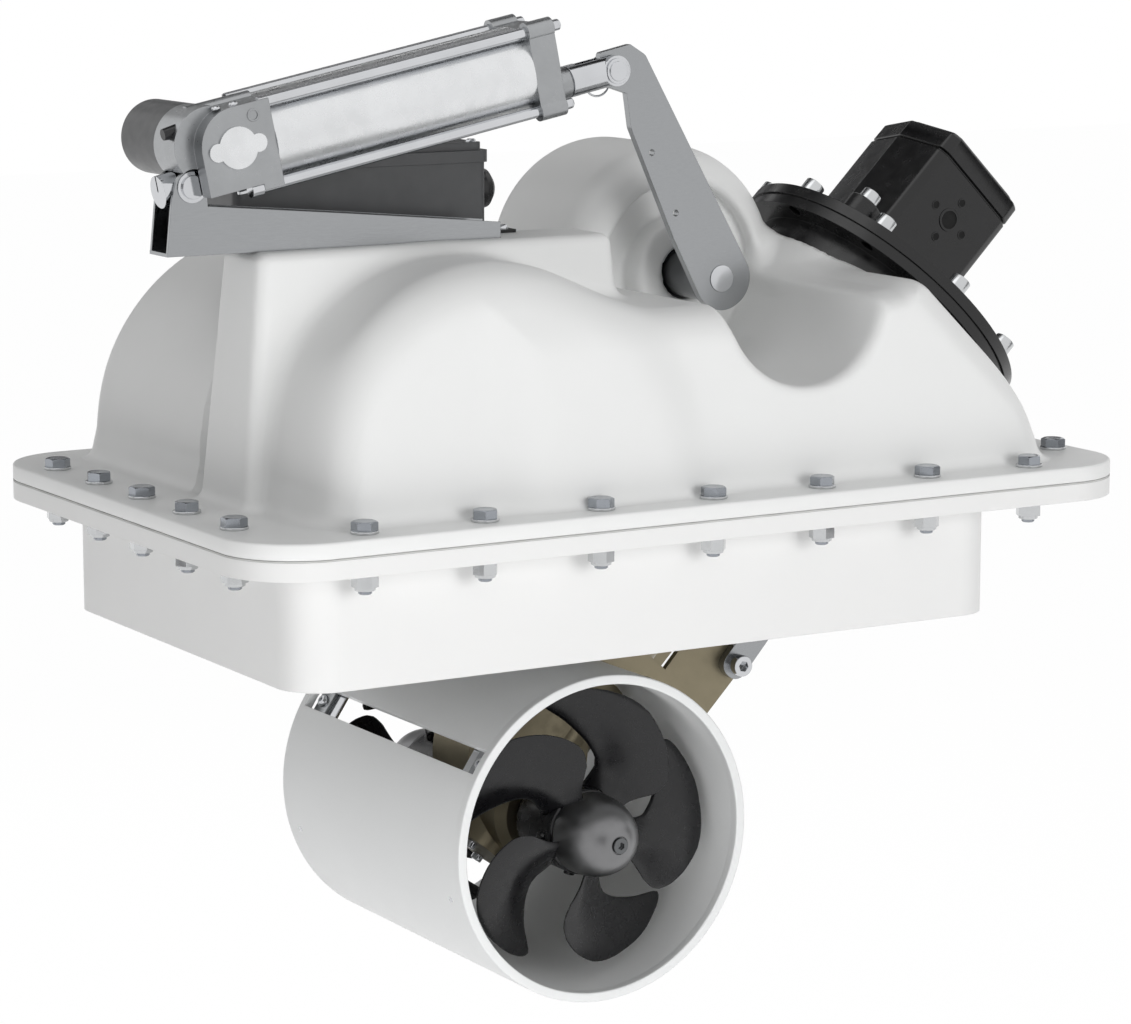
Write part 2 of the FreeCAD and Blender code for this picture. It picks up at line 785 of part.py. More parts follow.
# Lever, its shaft and the inner crank
def lever_parts():
    near = S.lever_y - S.lever_thick / 2
    far = S.lever_y + S.lever_thick / 2
    w = S.lever_half_width
    a = S.lever_reach
    lean = S.lever_lean
    tip = S.lever_tip
    points = [(-w, -w), (w, -w), (w + lean, a - lean), (w - 1.0, a + tip * 0.4), (-tip * 0.1, a + tip * 0.85),
              (-tip * 0.5, a + tip * 0.2), (-tip * 0.5, a - tip * 0.4), (tip * 0.1, a - 17.0),
              (lean - S.lever_neck, a - 36.0), (lean * 0.3 - w * 0.87, w * 2.0)]
    rounds = [(0, w - 1.0), (1, w - 1.0), (2, 6.0), (4, 2.0), (8, 8.0)]
    play = S.running_fit
    holes = [(0.0, 0.0, S.lever_peg + play), (0.0, a, S.clevis_pin + play),
             (-6.6, a * 0.35, 2.0), (-2.0, a * 0.62, 2.0)]
    keep(in_lever(plate(points, near, far, holes, rounds)), "lever_plate")
    peg = rod("y", S.lever_peg, near - 0.6, far, S.shaft_x, S.shaft_z)
    shaft = rod("y", S.shaft_radius, far, rear_bush_end - S.shaft_end_play, S.shaft_x, S.shaft_z)
    keep(fuse(peg, shaft), "lever_shaft")
    sleeve = rod("y", S.hub_radius, far, front_bush_start - S.shaft_end_play, S.shaft_x, S.shaft_z)
    collar = rod("y", S.hub_collar, far, far + 3.0, S.shaft_x, S.shaft_z)
    bore = rod("y", S.shaft_radius + play, far, S.dome_depth, S.shaft_x, S.shaft_z)
    keep(cut(fuse(sleeve, collar), bore), "lever_hub")
    r = S.crank_reach
    eye = 17.0
    crank_points = [(-eye - 3.0, -eye), (eye + 3.0, -eye), (eye - 4.0, r + eye - 4.0), (4.0 - eye, r + eye - 4.0)]
    crank = plate(crank_points, S.crank_y, S.crank_y + S.crank_thick,
                  [(0.0, 0.0, S.shaft_radius + play), (0.0, r, S.crank_pin + play)],
                  [(0, eye - 1.0), (1, eye - 1.0), (2, eye - 6.0), (3, eye - 6.0)])
    keep(tilt(crank, 90.0 - S.crank_angle, S.shaft_x, S.shaft_z), "crank")
    pin = rod("y", S.crank_pin, S.link_y - 1.0, S.crank_y + S.crank_thick + 1.0, crank_x, crank_z)
    head = rod("y", S.crank_pin + 2.0, S.link_y - 3.0, S.link_y - 1.0, crank_x, crank_z)
    keep(fuse(pin, head), "crank_pin")


def coupler():
    reach = root((S.shaft_x - S.pivot_x) * (S.shaft_x - S.pivot_x) + (S.shaft_z - S.pivot_z) * (S.shaft_z - S.pivot_z))
    bearing = heading(S.pivot_x - S.shaft_x, S.pivot_z - S.shaft_z)
    w = S.link_half_width
    points = [(-w, -w), (reach + w, -w), (reach + w, w), (-w, w)]
    hole = S.crank_pin + S.running_fit
    bar = plate(points, S.link_y, S.link_y + S.link_thick, [(0.0, 0.0, hole), (reach, 0.0, hole)],
                [(index, w - 1.0) for index in range(4)])
    keep(tilt(bar, -bearing, crank_x, crank_z), "coupler_link")


def shaft_bearings():
    bore = S.shaft_radius + S.running_fit
    front = tube("y", S.bush_radius, bore, front_bush_start, front_bush_start + S.bush_length, S.shaft_x, S.shaft_z)
    rear = tube("y", S.bush_radius, bore, rear_bush_start, rear_bush_end, S.shaft_x, S.shaft_z)
    keep(group([front, rear]), "shaft_bushes")
    keep(tube("y", S.bush_radius, S.hub_radius + S.running_fit, S.dome_face + 1.0, S.dome_face + S.seal_depth,
              S.shaft_x, S.shaft_z), "shaft_seal")


# Swing frame
def swing_plates():
    top = S.leg_reach
    side = S.tie_bolt_side
    low = S.tie_bolt_along
    end = 9.0
    pin = S.pivot_pin
    fit = S.running_fit
    points = [(side - end, low - end), (side + end, low - end), (side + end, low + 52.0), (S.plate_boss, top - 4.0),
              (S.plate_boss, top + S.plate_boss), (-S.plate_boss, top + S.plate_boss), (-S.plate_boss, top - 4.0),
              (-side - end, low + 52.0), (-side - end, low - end), (end - side, low - end), (end - side, low + 40.0),
              (-14.0, top - 34.0), (14.0, top - 34.0), (side - end, low + 40.0)]
    rounds = [(0, end - 1.0), (1, end - 1.0), (2, 20.0), (4, S.plate_boss - 1.0), (5, S.plate_boss - 1.0), (7, 20.0),
              (8, end - 1.0), (9, end - 1.0)]
    holes = [(0.0, top, pin + fit), (side, low, 4.2), (-side, low, 4.2)]
    near = plate(points, -S.plate_y - S.plate_thick, -S.plate_y, holes, rounds)
    keep(in_leg(near), "swing_plate_near")
    link_angle = S.crank_angle - S.leg_angle
    link_u = S.crank_reach * sine(link_angle)
    link_v = top + S.crank_reach * cosine(link_angle)
    far = plate(points, S.plate_y, S.plate_y + S.plate_thick, holes, rounds)
    ear_radius = S.link_half_width + 2.0
    ear = rod("y", ear_radius, S.plate_y, S.plate_y + S.plate_thick, -link_u, link_v)
    web = block(-link_u - ear_radius, -link_u + ear_radius, S.plate_y, S.plate_y + S.plate_thick, link_v, top - 30.0)
    hole = rod("y", S.crank_pin + fit, S.plate_y - 1.0, S.plate_y + S.plate_thick + 1.0, -link_u, link_v)
    keep(in_leg(cut(fuse(far, ear, web), hole)), "swing_plate_far")
    outer = S.plate_y + S.plate_thick
    tip = S.hinge_y + S.hinge_thick + 2.0
    near_pin = fuse(rod("y", pin, -tip, -S.plate_y, S.pivot_x, S.pivot_z),
                    rod("y", pin + 4.0, -S.hinge_y + 0.5, -outer, S.pivot_x, S.pivot_z))
    far_pin = fuse(rod("y", pin, S.plate_y, tip, S.pivot_x, S.pivot_z),
                   rod("y", pin + 4.0, outer, S.hinge_y - 0.5, S.pivot_x, S.pivot_z))
    keep(group([near_pin, far_pin]), "hinge_pins")
    stub = rod("y", S.crank_pin, S.plate_y, S.link_y + S.link_thick + 1.0, link_x, link_z)
    cap = rod("y", S.crank_pin + 2.0, S.link_y + S.link_thick + 1.0, S.link_y + S.link_thick + 2.5, link_x, link_z)
    keep(fuse(stub, cap), "coupler_pin")


def socket_screw(axis, radius, head_radius, seat, tail, first, second, side):
    """Cap screw with its head outside seat; side is the direction in which the head points."""
    height = radius * 2 * side
    ends = sorted([seat, seat + height], key=float)
    head = rod(axis, head_radius, ends[0], ends[1], first, second)
    top = seat + height
    recess_ends = sorted([top, top - height * 0.55], key=float)
    recess = hexagon(axis, radius * 1.5, recess_ends[0], recess_ends[1], first, second)
    shank_ends = sorted([as_size(tail), as_size(seat)], key=float)
    return fuse(cut(head, recess), rod(axis, radius, shank_ends[0], shank_ends[1], first, second))


def leg_parts():
    hub = rod("y", S.leg_hub, -S.leg_hub_half, S.leg_hub_half)
    ends = [cone("y", S.leg_hub - 5.0, S.leg_hub, -S.leg_hub_half - S.leg_hub_cone, -S.leg_hub_half),
            cone("y", S.leg_hub, S.leg_hub - 5.0, S.leg_hub_half, S.leg_hub_half + S.leg_hub_cone)]
    disc = rod("y", S.leg_disc, -S.leg_disc_half, S.leg_disc_half, -20.0, 24.0)
    neck = rod("z", S.leg_neck, 0.0, 150.0)
    end_cap = rod("z", S.leg_hub - 4.0, -S.leg_hub - 6.0, 0.0)
    saddle = block(-40.0, 56.0, -S.plate_y, S.plate_y, 60.0, 117.0)
    hollow = rod("y", S.tunnel_radius + 0.3, -S.plate_y - 5.0, S.plate_y + 5.0)
    inside = block(-60.0, 60.0, -S.plate_y + S.cheek_thick, S.plate_y - S.cheek_thick, 103.5, 160.0)
    low = S.tie_bolt_along
    cheek_points = [(13.0, 100.0), (56.0, 100.0), (59.0, low + 9.0), (14.0, low + 9.0)]
    left_points = [(-59.0, low + 9.0), (-59.0, 100.0), (-13.0, 100.0), (-30.0, low + 9.0)]
    cheeks = []
    for points in (cheek_points, left_points):
        for near in (-S.plate_y, S.plate_y - S.cheek_thick):
            cheeks.append(plate(points, near, near + S.cheek_thick))
    outside = cut(fuse(cut(saddle, inside), *cheeks), hollow)
    casting = fuse(hub, *ends, disc, neck, end_cap, outside)
    cap_places = [polar(as_size(0.0), as_size(0.0), 17.0, angle) for angle in (45.0, 135.0, 225.0, 315.0)]
    gear_room = rod("y", S.leg_hub - 7.0, -S.leg_hub_half + 6.0, S.leg_hub_half - 6.0)
    bores = [rod("y", S.prop_shaft + 1.0, -S.leg_hub_half - 10.0, S.leg_hub_half + 10.0),
             rod("z", S.leg_bore, 0.0, 151.0), rod("z", S.pinion_radius + 1.0, 0.0, 28.0)]
    bores += [rod("z", S.cap_screw + 0.1, -S.leg_hub - 7.0, -S.leg_hub + 1.0, u, v) for u, v in cap_places]
    side = S.tie_bolt_side
    for u in (-side, side):
        bores.append(rod("y", 4.2, -S.plate_y - 1.0, S.plate_y + 1.0, u, low))
    keep(in_leg(cut(casting, gear_room, *bores)), "leg_casing")
    screws = []
    for u in (-side, side):
        for sign in (-1, 1):
            seat = sign * (S.plate_y + S.plate_thick)
            tail = sign * (S.plate_y - S.cheek_thick - 4.0)
            screws.append(socket_screw("y", 4.0, 6.5, seat, tail, u, low, sign))
    cap_screws = [socket_screw("z", S.cap_screw, 3.6, -S.leg_hub - 6.0, -S.leg_hub, u, v, -1)
                  for u, v in cap_places]
    keep(in_leg(group(screws + cap_screws)), "swing_screws")
    bearings = []
    for sign in (-1, 1):
        ends = sorted([sign * (S.leg_hub_half - 5.5), sign * (S.leg_hub_half + S.leg_hub_cone)], key=float)
        bearings.append(tube("y", S.prop_shaft + 1.0, S.prop_shaft + S.running_fit, ends[0], ends[1]))
    for start, end in ((60.0, 90.0), (120.0, 150.0)):
        bearings.append(tube("z", S.leg_bore, S.drive_shaft + S.running_fit, start, end))
    keep(in_leg(group(bearings)), "leg_bearings")


def tunnel():
    centre = Vector(tunnel_x.value, 0, tunnel_z.value)
    half = S.tunnel_half.value
    along = Vector(0, 1, 0)
    start = centre - along * half
    shell = Part.makeCylinder(S.tunnel_radius.value, 2 * half, start, along)
    shell = shell.cut(Part.makeCylinder(S.tunnel_bore.value, 2 * half, start, along))
    reach = S.tunnel_radius.value * 1.2
    corners = [centre]
    for angle in (S.slot_from.value, S.slot_to.value):
        turn = math.radians(angle)
        corners.append(centre + Vector(reach * math.cos(turn), 0, reach * math.sin(turn)))
    margin = S.slot_margin.value
    wedge = prism([(corner.x, corner.z) for corner in corners], margin - half, half - margin)
    shell = shell.cut(wedge)
    turn = math.radians(S.leg_angle.value)
    up = Vector(math.cos(turn), 0, math.sin(turn))
    shell = shell.cut(Part.makeCylinder(S.leg_neck.value + 0.5, reach, centre, up))
    piece = doc.addObject("Part::Feature", "tunnel_shell")
    piece.Shape = shell
    keep(piece, "tunnel")
    bands = []
    middle = math.radians((S.slot_from.value + S.slot_to.value) / 2)
    out = Vector(math.cos(middle), 0, math.sin(middle))
    side = Vector(0, 1, 0).cross(out)
    bore = S.tunnel_bore.value
    for sign in (-1, 1):
        y = sign * (half - margin - 8.0)
        strap = Part.makeBox(34.0, 16.0, 3.0, Vector(-17.0, -8.0, -3.0))
        strap.Placement = Placement(centre + out * (bore - 2.2) + Vector(0, y, 0), Rotation(side, along, out))
        bands.append(strap)
    ring = Part.makeCylinder(bore - 0.1, 2 * half, start, along)
    heads = []
    for sign in (-1, 1):
        y = sign * (half - margin - 8.0)
        base = centre + out * (bore - 2.3) + Vector(0, y, 0)
        heads.append(Part.makeCylinder(4.5, 3.0, base, out))
    straps = doc.addObject("Part::Feature", "slot_straps")
    straps.Shape = Part.makeCompound([band.common(ring).fuse(head) for band, head in zip(bands, heads)])
    keep(straps, "tunnel_straps")


def hinge_brackets():
    x = S.pivot_x
    z = S.pivot_z
    wall = box_right - S.wall
    boss = S.hinge_boss
    floor = box_flange_bottom
    points = [(x - boss, z + boss), (x + boss, z + boss), (wall - 30.0, floor), (wall, floor), (wall, S.box_bottom + 8.0),
              (wall - 12.0, S.box_bottom + 8.0), (x - boss + 8.0, z - boss)]
    rounds = [(0, boss - 2.0), (6, 12.0)]
    bushes = []
    for name, near in (("near", -S.hinge_y - S.hinge_thick), ("far", S.hinge_y)):
        web = plate(points, near, near + S.hinge_thick, [(x, z, S.pivot_bush)], rounds)
        foot = block(wall - 6.0, wall, near - 14.0, near + S.hinge_thick + 14.0, S.box_bottom + 8.0, floor)
        holes = [rod("x", 3.2, wall - 7.0, wall + 1.0, near + S.hinge_thick / 2 + dy, S.box_bottom + 8.0 + dz)
                 for dy in (-12.0, 12.0) for dz in (14.0, 44.0)]
        keep(cut(fuse(web, foot), *holes), f"hinge_bracket_{name}")
        bushes.append(tube("y", S.pivot_bush, S.pivot_pin + S.running_fit, near, near + S.hinge_thick, x, z))
    keep(group(bushes), "hinge_bushes")
    bolts = []
    for near in (-S.hinge_y - S.hinge_thick, S.hinge_y):
        for dy in (-12.0, 12.0):
            for dz in (14.0, 44.0):
                y = near + S.hinge_thick / 2 + dy
                bolts.append(socket_screw("x", 3.0, 5.0, wall - 6.0, wall, y, S.box_bottom + 8.0 + dz, -1))
    keep(group(bolts), "hinge_bolts")


# Drive line
def drive_line():
    reach = S.motor_reach
    cup = S.cup_radius
    shaft = rod("z", S.drive_shaft + 3.0, cup - reach + 2.0, -S.ring_thick + 5.0)
    bell = cut(ball(cup + S.cup_wall, 0.0, 0.0, -reach), ball(cup, 0.0, 0.0, -reach),
               block(-40.0, 40.0, -40.0, 40.0, -reach - 40.0, -reach))
    keep(in_motor(fuse(shaft, bell)), "motor_shaft")
    top = S.leg_reach
    bulb = ball(cup - S.ball_play, 0.0, 0.0, top)
    stem = rod("z", S.drive_shaft, 26.0, top)
    pinion = cone("z", S.drive_shaft, S.pinion_radius, 12.0, 26.0)
    keep(in_leg(fuse(bulb, stem, pinion)), "leg_shaft")
    for name, sign in (("near", -1), ("far", 1)):
        ends = sorted([sign * as_size(0.6), sign * (S.prop_y + 14.0)], key=float)
        shaft = rod("y", S.prop_shaft, ends[0], ends[1])
        if sign < 0:
            gear = cone("y", 20.0, 11.0, -26.0, -17.0)
        else:
            gear = cone("y", 11.0, 20.0, 17.0, 26.0)
        piece = fuse(shaft, gear)
        keep(shift(piece, tunnel_x, 0.0, tunnel_z), f"prop_shaft_{name}")


def blade(root_radius, tip_radius, hand):
    """One broad skewed blade along +X for a shaft on Z, lofted through sections on growing radii."""
    sections = []
    steps = 7
    for index in range(steps + 1):
        part = index / steps
        radius = root_radius + (tip_radius - root_radius) * part
        pitch = math.radians(S.blade_pitch_root.value * (1 - part) + S.blade_pitch_tip.value * part)
        swell = math.sin(0.95 * math.pi * part ** 1.4)
        chord = (S.blade_root.value + S.blade_swell.value * swell) / math.cos(pitch)
        skew = math.radians(S.blade_lag.value - S.blade_skew.value * part) * hand
        thick = S.blade_thick.value * (1 - part) + S.blade_edge.value * part
        points = []
        for u, v in ((-0.5, 0.0), (-0.25, 0.8), (0.1, 1.0), (0.5, 0.0), (0.1, -0.5), (-0.25, -0.4)):
            across = u * chord
            lift = v * thick / 2 + thick * (0.25 - u * u)
            side = across * math.cos(pitch) - lift * math.sin(pitch)
            rise = across * math.sin(pitch) + lift * math.cos(pitch)
            flat = side * hand
            points.append(Vector(radius * math.cos(skew) - flat * math.sin(skew),
                                 radius * math.sin(skew) + flat * math.cos(skew), rise))
        back = Part.BSplineCurve()
        back.interpolate(points[:4])
        face = Part.BSplineCurve()
        face.interpolate(points[3:] + points[:1])
        sections.append(Part.Wire([back.toShape(), face.toShape()]))
    span = tip_radius
    rim = Part.makeCylinder(tip_radius, 2 * span, Vector(0, 0, -span))
    return Part.makeLoft(sections, True, False).common(rim)


def propellers():
    for name, sign in (("near", -1), ("far", 1)):
        length = S.prop_hub_length.value
        inner = S.prop_y.value - length / 2
        sleeve = inner - S.leg_hub_half.value - S.leg_hub_cone.value - S.end_gap.value
        hub = Part.makeCone(S.prop_hub.value - 4.0, S.prop_hub.value, length)
        hub = hub.fuse(Part.makeCylinder(S.prop_sleeve.value, sleeve, Vector(0, 0, -sleeve)))
        blades = [blade(S.prop_hub.value - 7.0, S.prop_radius.value, sign)]
        count = int(S.blade_count.value)
        for index in range(1, count):
            copy = blades[0].copy()
            copy.rotate(Vector(), Vector(0, 0, 1), 360.0 * index / count)
            blades.append(copy)
        shape = hub
        for item in blades:
            item.translate(Vector(0, 0, S.blade_plane.value - inner))
            shape = shape.fuse(item)
        bore = Part.makeCylinder(S.prop_shaft.value, 2 * length, Vector(0, 0, -length / 2))
        shape = shape.cut(bore)
        piece = doc.addObject("Part::Feature", "screw_propeller")
        piece.Shape = shape
        turn = Rotation(Vector(1, 0, 0), 90.0 if sign < 0 else -90.0)
        piece.Placement = Placement(Vector(tunnel_x.value, sign * inner, tunnel_z.value), turn)
        keep(piece, f"propeller_{name}")
        base = S.prop_y + S.prop_hub_length / 2
        nose_length = S.nose_tip - base
        radius = S.nose_radius
        steps = 6
        profile = [(0.0, 0.0), (radius, 0.0)]
        for index in range(1, steps):
            angle = 90.0 * index / steps
            profile.append((radius * cosine(angle), nose_length * 0.36 + nose_length * 0.64 * sine(angle)))
        profile.append((0.0, nose_length))
        nose = turned(profile)
        nose.Placement = Placement(Vector(), turn)
        shift(nose, tunnel_x, sign * base, tunnel_z)
        keep(nose, f"nose_cone_{name}")


# Linear actuator
def corners_of(low, high, middle, near, far):
    """The four places about the barrel where the tie rods run."""
    return [(middle + y, n) for y in (near, far) for n in (low, high)]


def actuator_housing():
    middle = S.lever_y
    face = middle - S.housing_face
    back = middle + S.housing_face
    plate_back = face + S.plate_depth
    block_back = middle + S.housing_back
    n = S.barrel_rise
    top = n + S.housing_high
    low = n - S.housing_low
    start = S.barrel_start
    left = S.housing_left
    seat = S.tie_seat
    foot = low - (S.tie_boss - (low - (n - S.rod_spread)))
    near_plate = plate([(left, low), (start, low), (start, top), (left, top)], face, plate_back, (),
                       [(3, S.housing_round)])
    near_foot = block(seat, start, face, plate_back, foot, low)
    mid = block(12.0, start, plate_back, block_back, low, top)
    flange = block(start - 4.5, start, block_back, back, low, top)
    far_foot = block(start - 4.5, start, block_back + 2.0, back, foot, low)
    side = rod("x", S.side_tube, left + 6.0, start, middle, S.side_tube_n)
    boss = rod("y", S.gearbox_radius, plate_back, block_back, S.gearbox_t, S.gearbox_n)
    relief = rod("x", S.tang_radius + 0.4, -30.0, 12.0, middle, 0.0)
    pin_room = rod("y", S.pin_washer + 1.4, plate_back, block_back)
    holes = []
    for y, high in corners_of(n - S.rod_spread, n + S.rod_spread, middle, -S.rod_gap, S.rod_gap):
        first = seat - 1.0 if high.value < n.value else start - 5.0
        holes.append(rod("x", S.tie_rod + 0.1, first, start + 1.0, y, high))
    pocket = rod("x", S.tie_head + 0.2, seat - S.tie_head_length - 1.0, seat, middle - S.rod_gap, n - S.rod_spread)
    housing = fuse(near_plate, near_foot, mid, flange, far_foot, side, cut(boss, relief, pin_room))
    keep(in_actuator(cut(housing, pocket, *holes)), "actuator_housing")
    t, m = S.badge_t, S.badge_n
    first = face - S.badge_thick
    badge = fuse(rod("y", S.badge_radius, first, face, t, m), rod("y", S.badge_lobe, first, face, t - S.badge_reach, m),
                 rod("y", S.badge_lobe, first, face, t + S.badge_reach, m))
    keep(in_actuator(badge), "housing_badge")
    tang = cut(rod("x", S.tang_radius, -S.tang_back, 12.0, middle, 0.0),
               rod("y", S.rear_pin + S.running_fit, middle - 10.0, middle + 10.0),
               block(-S.tang_back - 1.0, -3.0, middle - 0.8, middle + 0.8, 0.0, 10.0))
    keep(in_actuator(tang), "rear_tang")
    drive = rod("y", S.drive_radius, block_back, S.drive_end, S.gearbox_t, S.gearbox_n + 1.0)
    keep(in_actuator(drive), "actuator_motor")
    y = middle - 8.0
    gland = fuse(cone("x", 3.2, 4.6, -9.5, 3.0, y, S.cable_n), rod("x", 5.8, 3.0, 7.0, y, S.cable_n))
    keep(in_actuator(cut(gland, rod("y", S.gearbox_radius, middle - 20.0, middle + 5.0, S.gearbox_t, S.gearbox_n))),
         "cable_gland")


def actuator_cylinder():
    middle = S.lever_y
    face = middle - S.housing_face
    back = middle + S.housing_face
    n = S.barrel_rise
    start = S.barrel_start
    head_start, head_end = S.head_start, S.head_end
    inside = S.barrel_radius - S.barrel_wall
    keep(in_actuator(tube("x", S.barrel_radius, inside, start, head_start, middle, n)), "actuator_barrel")
    places = corners_of(n - S.rod_spread, n + S.rod_spread, middle, -S.rod_gap, S.rod_gap)
    head = fuse(block(head_start, head_end, face, back, n - S.housing_low, n + S.housing_high),
                *[rod("x", S.tie_boss, head_start, head_end, y, high) for y, high in places])
    bores = [rod("x", S.tie_rod + 0.1, head_start - 1.0, head_end + 1.0, y, high) for y, high in places]
    rod_hole = rod("x", S.piston_rod + 1.4, head_start - 1.0, head_end + 1.0, middle, 0.0)
    keep(in_actuator(cut(head, rod_hole, *bores)), "actuator_head")
    bush = rod("x", S.piston_rod + 1.4, head_start, head_end, middle, 0.0)
    nose = cone("x", S.gland_radius, S.gland_radius - 2.0, head_end, S.gland_end, middle, 0.0)
    bore = rod("x", S.piston_rod + S.running_fit, head_start - 1.0, S.gland_end + 1.0, middle, 0.0)
    keep(in_actuator(cut(fuse(bush, nose), bore)), "rod_gland")
    ties = []
    for y, high in places:
        low_rod = high.value < n.value
        near = y.value < middle.value
        seat = S.tie_seat if near else start - 4.5
        first = seat if low_rod else start - 5.0
        piece = rod("x", S.tie_rod, first, head_end + 4.5, y, high)
        if low_rod:
            piece = fuse(piece, rod("x", S.tie_head, seat - S.tie_head_length, seat, y, high))
        ties.append(piece)
    keep(in_actuator(group(ties)), "tie_rods")


def piston_parts():
    middle = S.lever_y
    start = S.gland_end + S.fork_gap
    outside = S.fork_radius - 1.0
    keep(in_actuator(rod("x", S.piston_rod, S.barrel_start + 12.0, start, middle, 0.0)), "piston_rod")
    fork = fuse(rod("x", S.fork_radius, start, rod_reach, middle, 0.0),
                rod("y", S.fork_radius - 0.5, middle - outside, middle + outside, rod_reach, 0.0))
    slot = block(rod_reach - S.fork_depth, rod_reach + S.fork_radius + 2.0, middle - S.fork_slot / 2,
                 middle + S.fork_slot / 2, -S.fork_radius - 2.0, S.fork_radius + 2.0)
    pin_hole = rod("y", S.clevis_pin + S.running_fit, middle - 12.0, middle + 12.0, rod_reach, 0.0)
    washer_seat = rod("y", S.clevis_pin + 2.0, middle - 12.0, middle - outside, rod_reach, 0.0)
    keep(in_actuator(cut(fork, slot, pin_hole, washer_seat)), "rod_fork")
    near_end = middle - S.fork_radius - 1.0
    far_end = middle + S.fork_radius + 1.5
    near_stub = fuse(rod("y", S.clevis_pin, near_end, middle - S.fork_slot / 2, rod_reach, 0.0),
                     rod("y", S.clevis_pin + 1.7, middle - S.fork_radius - 0.2, middle - outside - 0.1, rod_reach, 0.0))
    far_stub = rod("y", S.clevis_pin, middle + S.fork_slot / 2, far_end, rod_reach, 0.0)
    ring = doc.addObject("Part::Torus", "ring")
    bind(ring, "Radius1", S.ring_mean)
    bind(ring, "Radius2", S.ring_wire)
    ring.Placement = Placement(Vector(), AXIS_TURN["y"])
    shift(ring, rod_reach - 4.0, middle + S.fork_radius + 0.8, -6.5)
    keep(in_actuator(group([near_stub, fuse(far_stub, ring)])), "clevis_pins")


def bracket():
    middle = S.lever_y
    half = S.bracket_half
    wall = S.bracket_wall
    base = S.ridge_top
    x = S.rear_x
    z = S.rear_z
    ear = S.bracket_ear
    left, right = S.bracket_left, S.bracket_right
    points = [(left, base), (right, base), (right, base + 9.3), (x + 98.7, base + 18.7), (x + ear + 1.0, z - 11.0),
              (x + ear, z + ear), (x - ear, z + ear), (x - ear - 4.0, z - 7.0)]
    rounds = [(5, ear - 0.8), (6, ear - 0.8)]
    near = plate(points, middle - half, middle - half + wall, [(x, z, S.rear_pin + S.running_fit)], rounds)
    far = plate(points, middle + half - wall, middle + half, [(x, z, S.rear_pin + S.running_fit)], rounds)
    floor = block(left, right, middle - half, middle + half, base, base + wall)
    places = [left + 75.0, left + 141.0, right - 10.2]
    holes = [rod("z", 3.2, base - 1.0, base + wall + 1.0, u, middle) for u in places]
    keep(cut(fuse(near, far, floor), *holes), "actuator_bracket")
    screws = [fuse(rod("z", 5.5, base + wall, base + wall + 3.6, u, middle),
                   rod("z", 3.0, base, base + wall, u, middle)) for u in places]
    pin = fuse(rod("y", S.rear_pin, middle - half - 2.4, middle + half + 0.4, x, z),
               rod("y", S.pin_washer, middle - half - 0.8, middle - half, x, z))
    keep(pin, "bracket_pin")
    return screws


def control_box():
    left, right = S.control_left, S.control_right
    near, far = S.control_near, S.control_far
    base = S.ridge_top
    plate_top = base + S.carrier_thick
    low = plate_top + S.stand_off
    lid = S.control_top - S.lid_height
    edge = S.lever_y + S.bracket_half + 0.5
    carrier = block(left - 8.0, right + 9.0, edge, far, base, plate_top)
    pads = [block(u, u + 12.0, v, v + 12.0, plate_top, low) for u in (left + 4.0, right - 16.0)
            for v in (near + 3.0, far - 15.0)]
    keep(fuse(carrier, *pads), "box_carrier")
    keep(slab(left, right, near, far, low, lid, 5.0), "control_box")
    crown = S.control_top - S.lid_crown
    rim = slab(left - 1.5, right + 1.5, near - 1.5, far + 1.5, lid, crown, 6.0)
    keep(fuse(rim, slab(left + 2.0, right - 2.0, near + 2.0, far - 2.0, crown, S.control_top, 4.0)), "control_lid")
    screws = [rod("z", 3.2, S.control_top, S.control_top + 1.8, u, v) for u in (left + 7.0, right - 7.0)
              for v in (near + 7.0, far - 7.0)]
    screws += [rod("z", 3.5, plate_top, plate_top + 2.4, u, (edge - 25.0) / 2) for u in (left - 3.0, right + 4.0)]
    y = (near + far) / 2
    z = (low + lid) / 2
    r = S.connector_radius
    length = S.connector_length
    profile = [(0.0, 0.0), (r, 0.0), (r, length * 0.5), (r * 0.92, length * 0.74), (r * 0.6, length * 0.94),
               (r * 0.25, length), (0.0, length)]
    plug = turned(profile)
    plug.Placement = Placement(Vector(), AXIS_TURN["x"])
    keep(shift(plug, right, y, z), "box_connector")
    return screws


